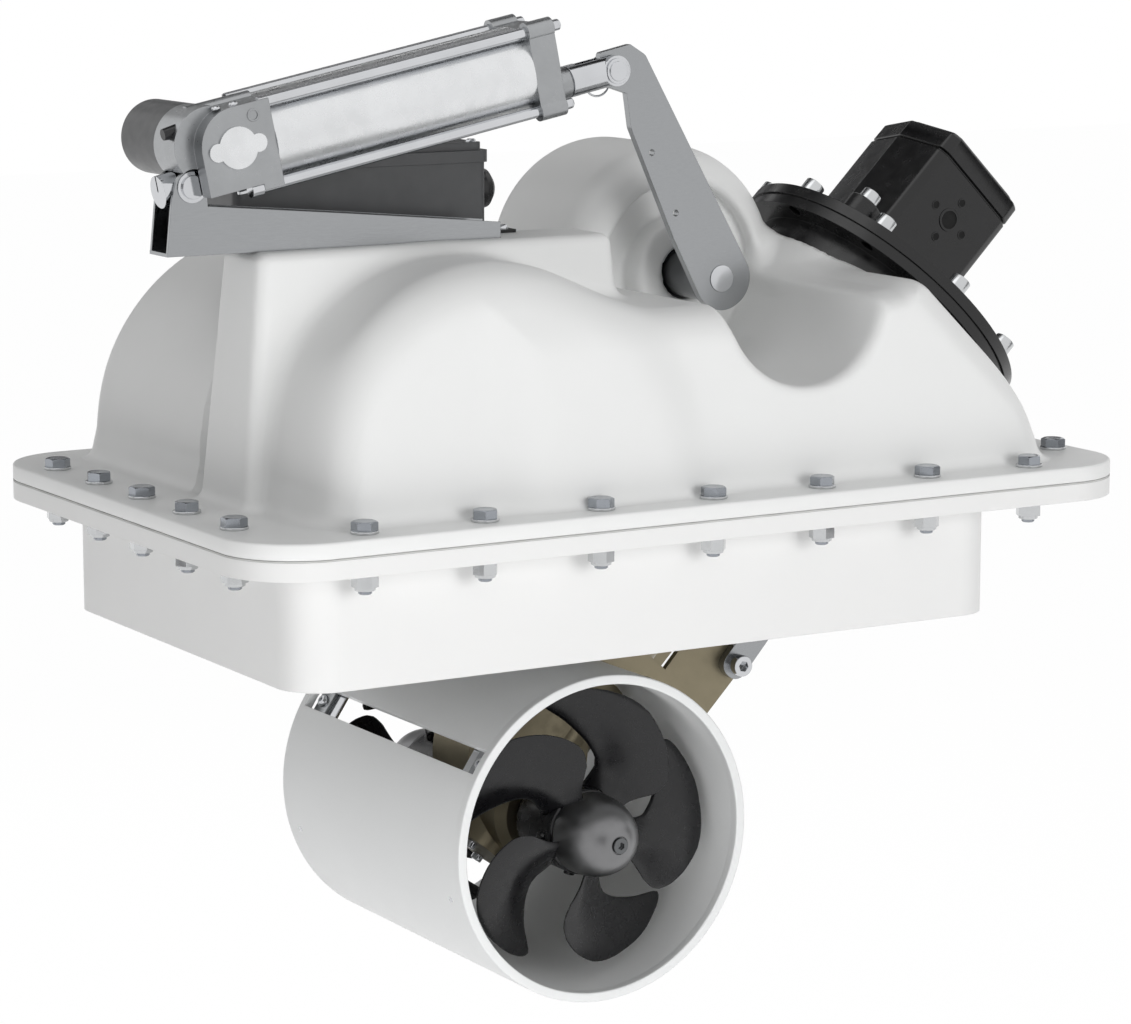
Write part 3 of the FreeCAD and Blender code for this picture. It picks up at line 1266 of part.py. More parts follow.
def motor():
    r = S.ring_radius
    thick = S.ring_thick
    up, down = S.motor_up, S.motor_down
    half = S.motor_half_width
    screws = []
    upper_holes = []
    for index in range(int(S.ring_screws.value)):
        angle = as_size(360.0) / S.ring_screws * index + S.screw_turn
        u, v = polar(as_size(0.0), as_size(0.0), S.screw_circle, angle)
        screws.append(socket_screw("z", 4.0, 6.5, as_size(0.0), -2 * thick, u, v, 1))
        upper_holes.append(rod("z", 4.2, -2 * thick - 1.0, 1.0, u, v))
    middle = (down - up) / 2
    feet = [(middle - S.foot_u, -S.foot_v), (middle + S.foot_u, S.foot_v)]
    for u, v in feet:
        screws.append(socket_screw("z", 4.0, 6.5, S.foot_thick, -thick, u, v, 1))
        upper_holes.append(rod("z", 4.2, -thick - 1.0, 1.0, u, v))
    keep(in_motor(group(screws)), "motor_screws")
    upper = cut(rod("z", r, -thick, 0.0), rod("z", 22.0, -thick - 1.0, 1.0), group(upper_holes))
    keep(in_motor(upper), "motor_plate")
    bottom = -((ring_x + ring_z - S.spigot_sum) / math.sqrt(2))
    seat = -((ring_x + ring_z - S.slope_sum) / math.sqrt(2))
    ring = rod("z", r - 1.2, -2 * thick, -thick)
    shoulder = rod("z", S.spigot_shoulder, seat, -2 * thick)
    spigot = rod("z", S.spigot_radius, bottom, seat)
    room = rod("z", S.spigot_radius - S.spigot_wall, bottom + 6.0, -thick + 1.0)
    web_hole = rod("z", S.drive_shaft + 3.0 + S.running_fit, bottom - 1.0, bottom + 7.0)
    keep(in_motor(cut(fuse(ring, shoulder, spigot), room, web_hole, group(upper_holes))), "motor_adapter")
    chamfer = S.motor_chamfer
    body = slab(-up, down, -half, half, 0.0, S.motor_length, chamfer)
    foot = S.foot_thick
    ears = [rod("z", S.foot_end, 0.0, foot, u, v) for u, v in feet]
    ears += [block(middle - S.foot_u, middle, -S.foot_v - S.foot_end, 0.0, 0.0, foot),
             block(middle, middle + S.foot_u, 0.0, S.foot_v + S.foot_end, 0.0, foot)]
    port = rod("y", S.port_radius, -half - 1.0, 12.0 - half, middle - 1.0, S.port_rise)
    diagonal = S.port_square / math.sqrt(2)
    port_holes = [rod("y", 2.6, -half - 1.0, 10.0 - half, middle - 1.0 + du, S.port_rise + dn)
                  for du, dn in ((-diagonal, 0.0), (diagonal, 0.0), (0.0, -diagonal), (0.0, diagonal))]
    foot_holes = [rod("z", 4.2, -1.0, foot + 1.0, u, v) for u, v in feet]
    keep(in_motor(cut(fuse(body, *ears), port, *port_holes, *foot_holes)), "motor_body")
    lid = slab(0.6 - up, down - 0.6, 0.6 - half, half - 0.6, S.motor_length, S.motor_length + S.motor_cover, chamfer)
    keep(in_motor(lid), "motor_end_cover")


def build():
    flange_fasteners()
    lower_box()
    flange_gasket()
    moulded_cover()
    lever_parts()
    coupler()
    shaft_bearings()
    swing_plates()
    leg_parts()
    tunnel()
    hinge_brackets()
    drive_line()
    propellers()
    actuator_housing()
    actuator_cylinder()
    piston_parts()
    screws = bracket()
    screws += control_box()
    keep(group(screws), "small_screws")
    motor()


def check_and_write():
    doc.recompute()
    broken = [thing.Name for thing in doc.Objects if {"Invalid", "Error"} & set(thing.State)]
    if broken:
        raise RuntimeError(f"these objects did not build: {broken}")
    for piece in PIECES:
        if piece.Shape.isNull() or not piece.Shape.isValid() or not piece.Shape.Solids:
            raise RuntimeError(f"{piece.Label} is not a valid solid")
    os.makedirs("parts", exist_ok=True)
    for piece in PIECES:
        piece.Shape.exportStep(f"parts/{piece.Label}.step")


build()
check_and_write()
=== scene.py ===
import json
import math

import bpy
import numpy as np
from mathutils import Matrix, Vector
from mathutils.geometry import convex_hull_2d

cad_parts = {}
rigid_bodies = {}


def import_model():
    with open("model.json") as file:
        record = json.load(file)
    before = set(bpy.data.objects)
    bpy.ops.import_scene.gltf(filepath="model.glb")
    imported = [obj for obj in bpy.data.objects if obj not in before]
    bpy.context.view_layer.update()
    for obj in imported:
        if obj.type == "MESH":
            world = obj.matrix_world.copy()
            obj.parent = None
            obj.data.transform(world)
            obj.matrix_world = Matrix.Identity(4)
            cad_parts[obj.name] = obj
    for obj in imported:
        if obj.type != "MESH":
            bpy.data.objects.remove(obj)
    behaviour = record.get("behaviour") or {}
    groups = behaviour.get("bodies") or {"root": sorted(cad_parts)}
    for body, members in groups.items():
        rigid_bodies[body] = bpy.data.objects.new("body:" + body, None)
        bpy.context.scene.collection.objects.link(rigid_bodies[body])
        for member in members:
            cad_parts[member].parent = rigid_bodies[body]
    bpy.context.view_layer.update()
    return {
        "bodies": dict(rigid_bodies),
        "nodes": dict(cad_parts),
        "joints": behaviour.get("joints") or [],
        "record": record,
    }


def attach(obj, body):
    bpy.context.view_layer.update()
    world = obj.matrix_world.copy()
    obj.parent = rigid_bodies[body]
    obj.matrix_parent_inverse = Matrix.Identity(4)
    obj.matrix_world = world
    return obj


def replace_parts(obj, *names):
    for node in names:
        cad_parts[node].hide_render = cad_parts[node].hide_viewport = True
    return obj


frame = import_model()
NODES = frame["nodes"]
MM = 0.001

# Main places as (x, z) in millimetres and tilts in degrees, in the part's own frame
SHAFT = (78.1, 110.7)
HINGE = (130.7, -14.6)
REAR_PIN = (-275.35, 181.98)
LEG_REACH = 256.9
LEG_ANGLE = 48.8
MOTOR_REACH = 145.8
MOTOR_TILT = 45.0
ACTUATOR_TILT = -11.333
TUNNEL = (HINGE[0] - LEG_REACH * math.cos(math.radians(LEG_ANGLE)),
          HINGE[1] - LEG_REACH * math.sin(math.radians(LEG_ANGLE)))
RING = (HINGE[0] + MOTOR_REACH * math.sin(math.radians(MOTOR_TILT)),
        HINGE[1] + MOTOR_REACH * math.cos(math.radians(MOTOR_TILT)))


class Frame:
    """A frame turned about Y. Local Z leans from up towards +X by the angle."""

    def __init__(self, x, z, degrees):
        self.x, self.z = x, z
        self.sine = math.sin(math.radians(degrees))
        self.cosine = math.cos(math.radians(degrees))

    def out(self, points):
        """Local points in the part's own frame."""
        p = np.asarray(points, float)
        return np.stack([self.x + p[:, 0] * self.cosine + p[:, 2] * self.sine, p[:, 1],
                         self.z - p[:, 0] * self.sine + p[:, 2] * self.cosine], 1)


def round_tunnel(elevation):
    """A frame at the tunnel's centre whose local Z points out at an elevation in degrees."""
    return Frame(*TUNNEL, 90.0 - elevation)


PLAIN = Frame(0.0, 0.0, 0.0)
AT_TUNNEL = Frame(*TUNNEL, 0.0)
LEG = round_tunnel(LEG_ANGLE)
MOTOR = Frame(*RING, MOTOR_TILT)
ACTUATOR = Frame(*REAR_PIN, ACTUATOR_TILT)

# Camera, in metres, with its lens and sensor in millimetres
CAMERA_PLACE = (-1.2009, -2.0246, 0.3710)
CAMERA_AIM = (0.503, 0.847, -0.169)
CAMERA_LENS = 124.9
CAMERA_SENSOR = 36.0


def make_camera():
    data = bpy.data.cameras.new("camera")
    data.sensor_width = CAMERA_SENSOR
    data.lens = CAMERA_LENS
    data.clip_end = 50.0
    camera = bpy.data.objects.new("camera", data)
    bpy.context.scene.collection.objects.link(camera)
    forward = Vector(CAMERA_AIM).normalized()
    right = forward.cross(Vector((0, 0, 1))).normalized()
    up = right.cross(forward)
    turn = Matrix((right, up, -forward)).transposed().to_4x4()
    camera.matrix_world = Matrix.Translation(Vector(CAMERA_PLACE)) @ turn
    bpy.context.scene.camera = camera


# Materials
NOISE_LOW = 0.3
NOISE_HIGH = 0.7
EDGE_SAMPLES = 5


class Paint:
    """One node material: a principled shader with helpers for procedural detail."""

    def __init__(self, name, color, roughness, metallic=0.0, soften=0.45, **sockets):
        """Soften is the radius in millimetres at which the shader rounds the edges."""
        self.material = bpy.data.materials.new(name)
        self.material.use_nodes = True
        self.tree = self.material.node_tree
        self.shader = self.tree.nodes["Principled BSDF"]
        self.color = color
        self.roughness = roughness
        self.shader.inputs["Base Color"].default_value = (*color, 1.0)
        self.shader.inputs["Metallic"].default_value = metallic
        self.shader.inputs["Roughness"].default_value = roughness
        for socket, value in sockets.items():
            self.shader.inputs[socket.replace("_", " ")].default_value = value
        self.place = self.tree.nodes.new("ShaderNodeTexCoord").outputs["Object"]
        self.normal = None
        if soften:
            rim = self.tree.nodes.new("ShaderNodeBevel")
            rim.samples = EDGE_SAMPLES
            rim.inputs["Radius"].default_value = soften * MM
            self.normal = rim.outputs["Normal"]
            self.link(self.normal, self.shader.inputs["Normal"])

    def link(self, a, b):
        self.tree.links.new(a, b)

    def noise(self, scale, detail=3.0, stretch=(1, 1, 1)):
        """Noise over the object's own coordinates; scale is in cells per metre."""
        mapping = self.tree.nodes.new("ShaderNodeMapping")
        mapping.inputs["Scale"].default_value = stretch
        self.link(self.place, mapping.inputs["Vector"])
        texture = self.tree.nodes.new("ShaderNodeTexNoise")
        texture.inputs["Scale"].default_value = scale
        texture.inputs["Detail"].default_value = detail
        self.link(mapping.outputs["Vector"], texture.inputs["Vector"])
        return texture.outputs["Fac"]

    def vary_color(self, value, darker, start=NOISE_LOW, end=NOISE_HIGH):
        """Blend from a darker tone to the paint's own colour."""
        ramp = self.tree.nodes.new("ShaderNodeValToRGB")
        ramp.color_ramp.elements[0].position = start
        ramp.color_ramp.elements[1].position = end
        ramp.color_ramp.elements[0].color = (*[c * darker for c in self.color], 1.0)
        ramp.color_ramp.elements[1].color = (*self.color, 1.0)
        self.link(value, ramp.inputs["Fac"])
        self.link(ramp.outputs["Color"], self.shader.inputs["Base Color"])

    def vary_roughness(self, value, amount):
        """Let the roughness move by an amount either way."""
        made = self.tree.nodes.new("ShaderNodeMapRange")
        made.inputs["From Min"].default_value = NOISE_LOW
        made.inputs["From Max"].default_value = NOISE_HIGH
        made.inputs["To Min"].default_value = self.roughness - amount
        made.inputs["To Max"].default_value = self.roughness + amount
        self.link(value, made.inputs["Value"])
        self.link(made.outputs["Result"], self.shader.inputs["Roughness"])

    def bump(self, value, depth):
        """Raise the surface by depth millimetres over the value's range."""
        made = self.tree.nodes.new("ShaderNodeBump")
        made.inputs["Strength"].default_value = 1.0
        made.inputs["Distance"].default_value = depth * MM
        self.link(value, made.inputs["Height"])
        if self.normal is not None:
            self.link(self.normal, made.inputs["Normal"])
        self.normal = made.outputs["Normal"]
        self.link(self.normal, self.shader.inputs["Normal"])


def laminate(name, color, roughness, soften=0.0):
    """Moulded white laminate: faint waviness, fine skin and slight tone changes."""
    paint = Paint(name, color, roughness, soften=soften, Specular_IOR_Level=0.5)
    paint.vary_color(paint.noise(9.0), 0.975, 0.25, 0.75)
    paint.vary_roughness(paint.noise(60.0, 4.0), 0.04)
    paint.bump(paint.noise(22.0, 2.0), 0.08)
    paint.bump(paint.noise(900.0, 2.0), 0.010)
    return paint.material


def brushed(name, color, roughness):
    """Ground steel with fine parallel lines."""
    paint = Paint(name, color, roughness, metallic=1.0)
    grains = paint.noise(220.0, stretch=(1, 14, 14))
    paint.vary_color(grains, 0.93)
    paint.vary_roughness(grains, 0.04)
    paint.bump(grains, 0.0012)
    return paint.material


def polished(name, color, roughness):
    """Turned and polished metal with faint smudges."""
    paint = Paint(name, color, roughness, metallic=1.0)
    paint.vary_color(paint.noise(45.0), 0.93)
    paint.vary_roughness(paint.noise(120.0, 4.0), roughness * 0.3)
    return paint.material


def blasted(name, color, roughness, grain=1500.0, depth=0.02, metallic=1.0):
    """Cast or blasted metal with a fine even grain."""
    paint = Paint(name, color, roughness, metallic=metallic)
    paint.vary_color(paint.noise(35.0, 5.0), 0.88)
    paint.vary_roughness(paint.noise(grain * 0.3), 0.05)
    paint.bump(paint.noise(grain, 2.0), depth)
    return paint.material


def coated(name, color, roughness, coat=0.0, grain=900.0, depth=0.012):
    """Paint, plastic or rubber with a soft skin."""
    paint = Paint(name, color, roughness, Coat_Weight=coat, Coat_Roughness=0.18)
    paint.vary_color(paint.noise(40.0, 4.0), 0.8)
    paint.vary_roughness(paint.noise(150.0, 4.0), 0.05)
    paint.bump(paint.noise(grain, 2.0), depth)
    return paint.material


M = {
    "cover": laminate("white_laminate", (0.84, 0.845, 0.84), 0.38),
    "box": laminate("white_box", (0.84, 0.84, 0.835), 0.36, 0.6),
    "tunnel": laminate("white_tunnel", (0.82, 0.83, 0.83), 0.32, 0.5),
    "gasket": coated("pale_gasket", (0.62, 0.62, 0.61), 0.7),
    "stainless": brushed("brushed_stainless", (0.36, 0.37, 0.38), 0.22),
    "bolt": polished("bolt_steel", (0.34, 0.36, 0.39), 0.18),
    "nut": polished("nut_steel", (0.60, 0.61, 0.62), 0.18),
    "polished": polished("polished_steel", (0.62, 0.63, 0.65), 0.10),
    "dark_steel": polished("dark_steel", (0.15, 0.155, 0.16), 0.16),
    "cast": blasted("cast_aluminium", (0.40, 0.41, 0.42), 0.32),
    "barrel": polished("anodised_tube", (0.78, 0.79, 0.80), 0.27),
    "bronze": blasted("cast_bronze", (0.27, 0.235, 0.16), 0.36, 700.0, 0.02, 0.8),
    "black_plastic": coated("black_composite", (0.006, 0.006, 0.007), 0.28, 0.0, 1400.0, 0.004),
    "black_metal": coated("black_paint", (0.004, 0.004, 0.0045), 0.24, 0.0, 900.0, 0.004),
    # Near-black matte paint for flat discs that stand in for the shade inside holes: painted shade
    "shade_in_holes": coated("painted_hole_shade", (0.0015, 0.0015, 0.0015), 0.8),
    "dark_grey": coated("grey_paint", (0.075, 0.077, 0.08), 0.38, 0.1, 1200.0, 0.012),
    "dark_aluminium": blasted("dark_aluminium", (0.25, 0.25, 0.255), 0.36, 500.0, 0.003),
    "bearing": coated("bearing_plastic", (0.05, 0.05, 0.05), 0.5),
}
SLOT_MATERIAL = {
    "gel_white": "box",
    "gasket_grey": "gasket",
    "stainless": "stainless",
    "polished_steel": "polished",
    "aluminium_cast": "cast",
    "aluminium_bright": "barrel",
    "bronze": "bronze",
    "black_plastic": "black_plastic",
    "black_metal": "black_metal",
    "dark_grey": "dark_grey",
    "dark_aluminium": "dark_aluminium",
    "bush_plastic": "bearing",
}
NODE_MATERIAL = {
    "cover": "cover",
    "tunnel": "tunnel",
    "flange_bolts": "bolt",
    "flange_washers": "bolt",
    "flange_nuts": "nut",
    "lever_hub": "dark_steel",
}


def dress_cad():
    """Give every CAD node the material of its slot, or one of its own."""
    for part in frame["record"]["subparts"]:
        node = NODES[part["node"]]
        name = NODE_MATERIAL.get(part["node"], SLOT_MATERIAL[part["material_slot"]])
        node.data.materials.clear()
        node.data.materials.append(M[name])


# Mesh helpers
SHARP_ANGLE = 32.0


def add_mesh(name, vertices, faces, material, body, sharp=SHARP_ANGLE):
    """A visible piece from points in millimetres, smooth below the sharp angle in degrees."""
    mesh = bpy.data.meshes.new(name)
    points = np.asarray(vertices, float) * MM
    mesh.from_pydata(points.tolist(), [], [tuple(int(i) for i in f) for f in faces])
    mesh.validate()
    mesh.update()
    mesh.shade_smooth()
    if sharp:
        mesh.set_sharp_from_angle(angle=math.radians(sharp))
    piece = bpy.data.objects.new(name, mesh)
    bpy.context.scene.collection.objects.link(piece)
    mesh.materials.append(M[material])
    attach(piece, body)
    return piece


# Turns local Z towards the named direction
AIM = {
    "z": lambda p: p,
    "-z": lambda p: p * (1, -1, -1),
    "y": lambda p: p[:, [0, 2, 1]] * (1, 1, -1),
    "-y": lambda p: p[:, [0, 2, 1]] * (1, -1, 1),
    "x": lambda p: p[:, [2, 0, 1]],
}


def turned(points, angle, first, second):
    """Points turned by an angle in the plane of two axes."""
    c, s = math.cos(angle), math.sin(angle)
    moved = np.array(points, float)
    moved[:, first] = points[:, first] * c - points[:, second] * s
    moved[:, second] = points[:, first] * s + points[:, second] * c
    return moved


class Shape:
    """Gathers surfaces into one piece."""

    def __init__(self):
        self.points, self.faces, self.count = [], [], 0

    def add(self, surface, frame=PLAIN, at=(0, 0, 0), aim="z", turn=0.0):
        """Add a surface, turned about its own axis, aimed along a direction and moved."""
        points, faces = surface
        points = turned(np.asarray(points, float), math.radians(turn), 0, 1)
        points = frame.out(AIM[aim](points) + np.array(at, float))
        self.points.append(points)
        self.faces += [tuple(i + self.count for i in f) for f in faces]
        self.count += len(points)
        return self

    def make(self, name, material, body, slot, sharp=SHARP_ANGLE):
        return add_mesh(name, np.concatenate(self.points), self.faces, material, body, sharp)


def circle(radius, z, count=32):
    turn = np.arange(count) * 2 * math.pi / count
    return np.stack([radius * np.cos(turn), radius * np.sin(turn), np.full(count, float(z))], 1)


def hexagon(flats, z, count=32, crown=None):
    """A ring round a hexagon; beyond the crown's radius a 30 degree chamfer falls away."""
    turn = np.arange(count) * 2 * math.pi / count
    fold = (np.degrees(turn) + 30.0) % 60.0 - 30.0
    radius = flats / 2 / np.cos(np.radians(fold))
    height = np.full(count, float(z))
    if crown:
        height = height - np.maximum(radius - crown, 0) * 0.577
    return np.stack([radius * np.cos(turn), radius * np.sin(turn), height], 1)


def stack(rings, loop=False):
    """Quads between rings of equal length, running upwards; an open stack gets end caps."""
    count = len(rings[0])
    points = np.concatenate(rings)
    faces = []
    for a in range(len(rings) - (0 if loop else 1)):
        b = (a + 1) % len(rings)
        for i in range(count):
            j = (i + 1) % count
            faces.append((a * count + i, a * count + j, b * count + j, b * count + i))
    if not loop:
        faces.append(tuple(reversed(range(count))))
        faces.append(tuple(range((len(rings) - 1) * count, len(rings) * count)))
    return points, faces


def lathe(profile, count=64, loop=False):
    """A turned surface from (radius, height) points."""
    return stack([circle(max(r, 0.01), z, count) for r, z in profile], loop)


# Fasteners
FASTENER_STEPS = 48


def hex_head(flats, height):
    crown = flats * 0.475
    return stack([
        hexagon(flats, 0, FASTENER_STEPS),
        hexagon(flats, height, FASTENER_STEPS, crown),
        circle(crown - 0.15, height, FASTENER_STEPS),
        circle(crown * 0.75, height - 0.12, FASTENER_STEPS),
    ])


def washer(outer, inner, thick, edge=0.25):
    profile = [(inner, 0.1), (outer - edge, 0), (outer, edge), (outer, thick - edge),
               (outer - edge, thick), (inner, thick)]
    return lathe(profile, FASTENER_STEPS, loop=True)


def cap_screw(radius, height, socket, depth, edge=0.5):
    return stack([
        circle(radius, 0, FASTENER_STEPS),
        circle(radius, height - edge, FASTENER_STEPS),
        circle(radius - edge * 0.3, height - edge * 0.3, FASTENER_STEPS),
        circle(radius - edge, height, FASTENER_STEPS),
        hexagon(socket, height, FASTENER_STEPS),
        hexagon(socket, height - depth, FASTENER_STEPS),
    ])


def button_screw(radius, height, socket, depth):
    return stack([
        circle(radius, 0, FASTENER_STEPS),
        circle(radius * 0.97, height * 0.35, FASTENER_STEPS),
        circle(radius * 0.84, height * 0.75, FASTENER_STEPS),
        circle(radius * 0.66, height * 0.97, FASTENER_STEPS),
        hexagon(socket, height, FASTENER_STEPS),
        hexagon(socket, height - depth, FASTENER_STEPS),
    ])


def soften_corners(points, radius, steps=5):
    """A plan outline with each corner replaced by a curve."""
    outline = []
    count = len(points)
    for i in range(count):
        a, b, c = (np.array(points[(i + k) % count], float) for k in (-1, 0, 1))
        u, v = a - b, c - b
        lu, lv = np.linalg.norm(u), np.linalg.norm(v)
        u, v = u / lu, v / lv
        half = math.acos(max(-1.0, min(1.0, float(u @ v)))) / 2
        reach = min(radius / math.tan(half), lu * 0.48, lv * 0.48)
        start, end = b + u * reach, b + v * reach
        for k in range(steps + 1):
            t = k / steps
            outline.append(tuple((1 - t) ** 2 * start + 2 * t * (1 - t) * b + t * t * end))
    return outline


def plate_outline(half_x, half_y, radius):
    """Plan of a plate about the origin with softened corners."""
    corners = [(-half_x, -half_y), (half_x, -half_y), (half_x, half_y), (-half_x, half_y)]
    return soften_corners(corners, radius)


def drawn(outline, levels):
    """Extrude a plan outline through (height, inset) levels."""
    flat = np.array(outline, float)
    middle = (flat.max(0) + flat.min(0)) / 2
    half = (flat.max(0) - flat.min(0)) / 2
    rings = []
    for z, inset in levels:
        plan = middle + (flat - middle) * (1 - inset / half)
        rings.append(np.column_stack([plan, np.full(len(flat), float(z))]))
    return stack(rings)


# Distance fields for moulded shapes
def join_soft(a, b, radius):
    """Union with a round inner fillet."""
    corner = np.hypot(np.maximum(radius - a, 0), np.maximum(radius - b, 0))
    return np.maximum(radius, np.minimum(a, b)) - corner


def meet_soft(a, b, radius):
    """Intersection with a round outer edge."""
    corner = np.hypot(np.maximum(radius + a, 0), np.maximum(radius + b, 0))
    return np.minimum(-radius, np.maximum(a, b)) + corner


def rounded_plan(x, y, x0, x1, y0, y1, radius, far_left=None):
    """Distance to a rounded rectangle; far_left is the radius at its low x, high y corner."""
    if far_left is not None:
        radius = np.where((x < (x0 + x1) / 2) & (y > 0), far_left, radius)
    qx = np.abs(x - (x0 + x1) / 2) - (x1 - x0) / 2 + radius
    qy = np.abs(y - (y0 + y1) / 2) - (y1 - y0) / 2 + radius
    return np.hypot(np.maximum(qx, 0), np.maximum(qy, 0)) + np.minimum(np.maximum(qx, qy), 0) - radius


# Main measures of the cover, in millimetres
SKIRT_ENDS = (-252.0, 266.0)
SKIRT_HALF = 155.0
SKIRT_DRAFT = 11.0
DOME_AXIS = (-124.0, 19.0)
DOME_RADIUS = 119.0
SHELF_TOP = 106.0
CREST_TOP = 115.0
RISE_START = 136.0
RISE_SLOPE = (9.0, 14.0)
SLOPE_SUM = 282.0
WALL_SLOPE = (42.0, 26.0)
RIDGE_TOP = 144.0
RIDGE_FLARE = 14.0
BOWL_RADIUS = 48.0
COLLAR_HALF = 15.0
SKIN_THICKNESS = 3.0
DIAGONAL = math.sqrt(2)


def dome_form(x, y, z, skirt):
    """Round dome over the screws, with a straight flared foot."""
    foot = np.maximum(DOME_AXIS[1] - z, 0)
    radial = np.hypot(x - DOME_AXIS[0], np.maximum(z - DOME_AXIS[1], 0))
    return meet_soft(radial - DOME_RADIUS - 0.25 * foot, skirt, np.where(y > 0, 10.0, 27.0))


def saddle_form(x, z, skirt):
    """Shelf behind the dome, with its crest, the slope under the motor and the end wall."""
    shelf = z - SHELF_TOP
    run = (x - RISE_START) * RISE_SLOPE[0] / RISE_SLOPE[1]
    rise = (z - SHELF_TOP - run) / math.hypot(1.0, RISE_SLOPE[0] / RISE_SLOPE[1])
    top = join_soft(shelf, meet_soft(z - CREST_TOP, rise, 12.0), 14.0)
    slope = (x + z - SLOPE_SUM) / DIAGONAL
    wall = (WALL_SLOPE[0] * (x - SKIRT_ENDS[1]) + WALL_SLOPE[1] * z) / math.hypot(*WALL_SLOPE)
    profile = meet_soft(meet_soft(top, slope, 12.0), wall, 10.0)
    profile = np.maximum(profile, DOME_AXIS[0] - x)
    return meet_soft(profile, skirt, 22.0)


def ridge_form(x, y, z):
    """Raised box along the top that carries the actuator's bracket."""
    flare = RIDGE_FLARE * (1 - np.clip(z, -20, RIDGE_TOP) / RIDGE_TOP)
    sides = rounded_plan(x, y, -240.0 - flare, -10.0 + flare, -75.0 - flare / 2, -25.0 + flare / 2, 8.0)
    return meet_soft(sides, z - RIDGE_TOP, 6.0)


def bowl_form(x, y, z, radial):
    """Pocket in front of the drum, cut open upwards along a diagonal."""
    mouth = (x - SHAFT[0] - z + SHAFT[1] - BOWL_RADIUS * DIAGONAL) / DIAGONAL
    over = np.maximum(np.maximum(SHAFT[0] - BOWL_RADIUS - x, SHAFT[1] - z), mouth)
    return np.maximum(np.minimum(radial - BOWL_RADIUS, over), y + 10.0)


def collar_form(x, y, z):
    """Round seat under the motor's flange."""
    axis = ((x - RING[0]) + (z - RING[1])) / DIAGONAL
    across = np.hypot(((x - RING[0]) - (z - RING[1])) / DIAGONAL, y)
    top_axis = (SLOPE_SUM - RING[0] - RING[1]) / DIAGONAL
    return meet_soft(across - 87.0, np.abs(axis - top_axis + COLLAR_HALF) - COLLAR_HALF, 2.0)


def cover_field(p):
    """Distance to the moulded cover's outer skin, in millimetres."""
    x, y, z = p
    lean = np.clip(z, -20, 200) * SKIRT_DRAFT / SKIRT_HALF
    skirt = rounded_plan(x, y, SKIRT_ENDS[0] + lean, SKIRT_ENDS[1] - lean, lean - SKIRT_HALF,
                         SKIRT_HALF - lean, 36.0 + lean, 10.0 + lean)
    form = join_soft(dome_form(x, y, z, skirt), saddle_form(x, z, skirt), 22.0)
    form = join_soft(form, ridge_form(x, y, z), 9.0)
    radial = np.hypot(x - SHAFT[0], z - SHAFT[1])
    bowl_edge = 7.0 + 8.0 * np.clip((x - 75.0) / 45.0, 0, 1)
    form = meet_soft(form, -bowl_form(x, y, z, radial), bowl_edge)
    drum = meet_soft(radial - 76.0, np.abs(y - 50.0) - 60.0, 26.0)
    form = join_soft(form, drum, 10.0)
    groove = np.maximum(np.abs(radial - 43.5) - 10.5, y - 2.0)
    form = meet_soft(form, -groove, 5.0)
    boss = meet_soft(radial - 33.0, np.abs(y + 2.0) - 12.0, 4.0)
    form = join_soft(form, boss, 4.0)
    form = join_soft(form, collar_form(x, y, z), 12.0)
    shaft_bore = np.maximum(radial - 16.5, y - 20.0)
    return np.maximum(form, -shaft_bore)


def outer_field(p):
    """The cover's outer skin with a fillet down to the flange."""
    return join_soft(cover_field(p), p[2], 7.0)


def inner_field(p):
    return cover_field(p) + SKIN_THICKNESS


def settled(field, points, step):
    """Points drawn along the field's slope onto its zero level."""
    reach = 0.05
    for _ in range(4):
        value = field(points)
        slope = []
        for axis in range(3):
            ahead = [points[j] + (reach if j == axis else 0) for j in range(3)]
            behind = [points[j] - (reach if j == axis else 0) for j in range(3)]
            slope.append((field(ahead) - field(behind)) / (2 * reach))
        slope = np.array(slope)
        steepness = np.maximum((slope ** 2).sum(0), 0.05)
        points = points - np.clip(value / steepness, -step, step) * slope
    return points


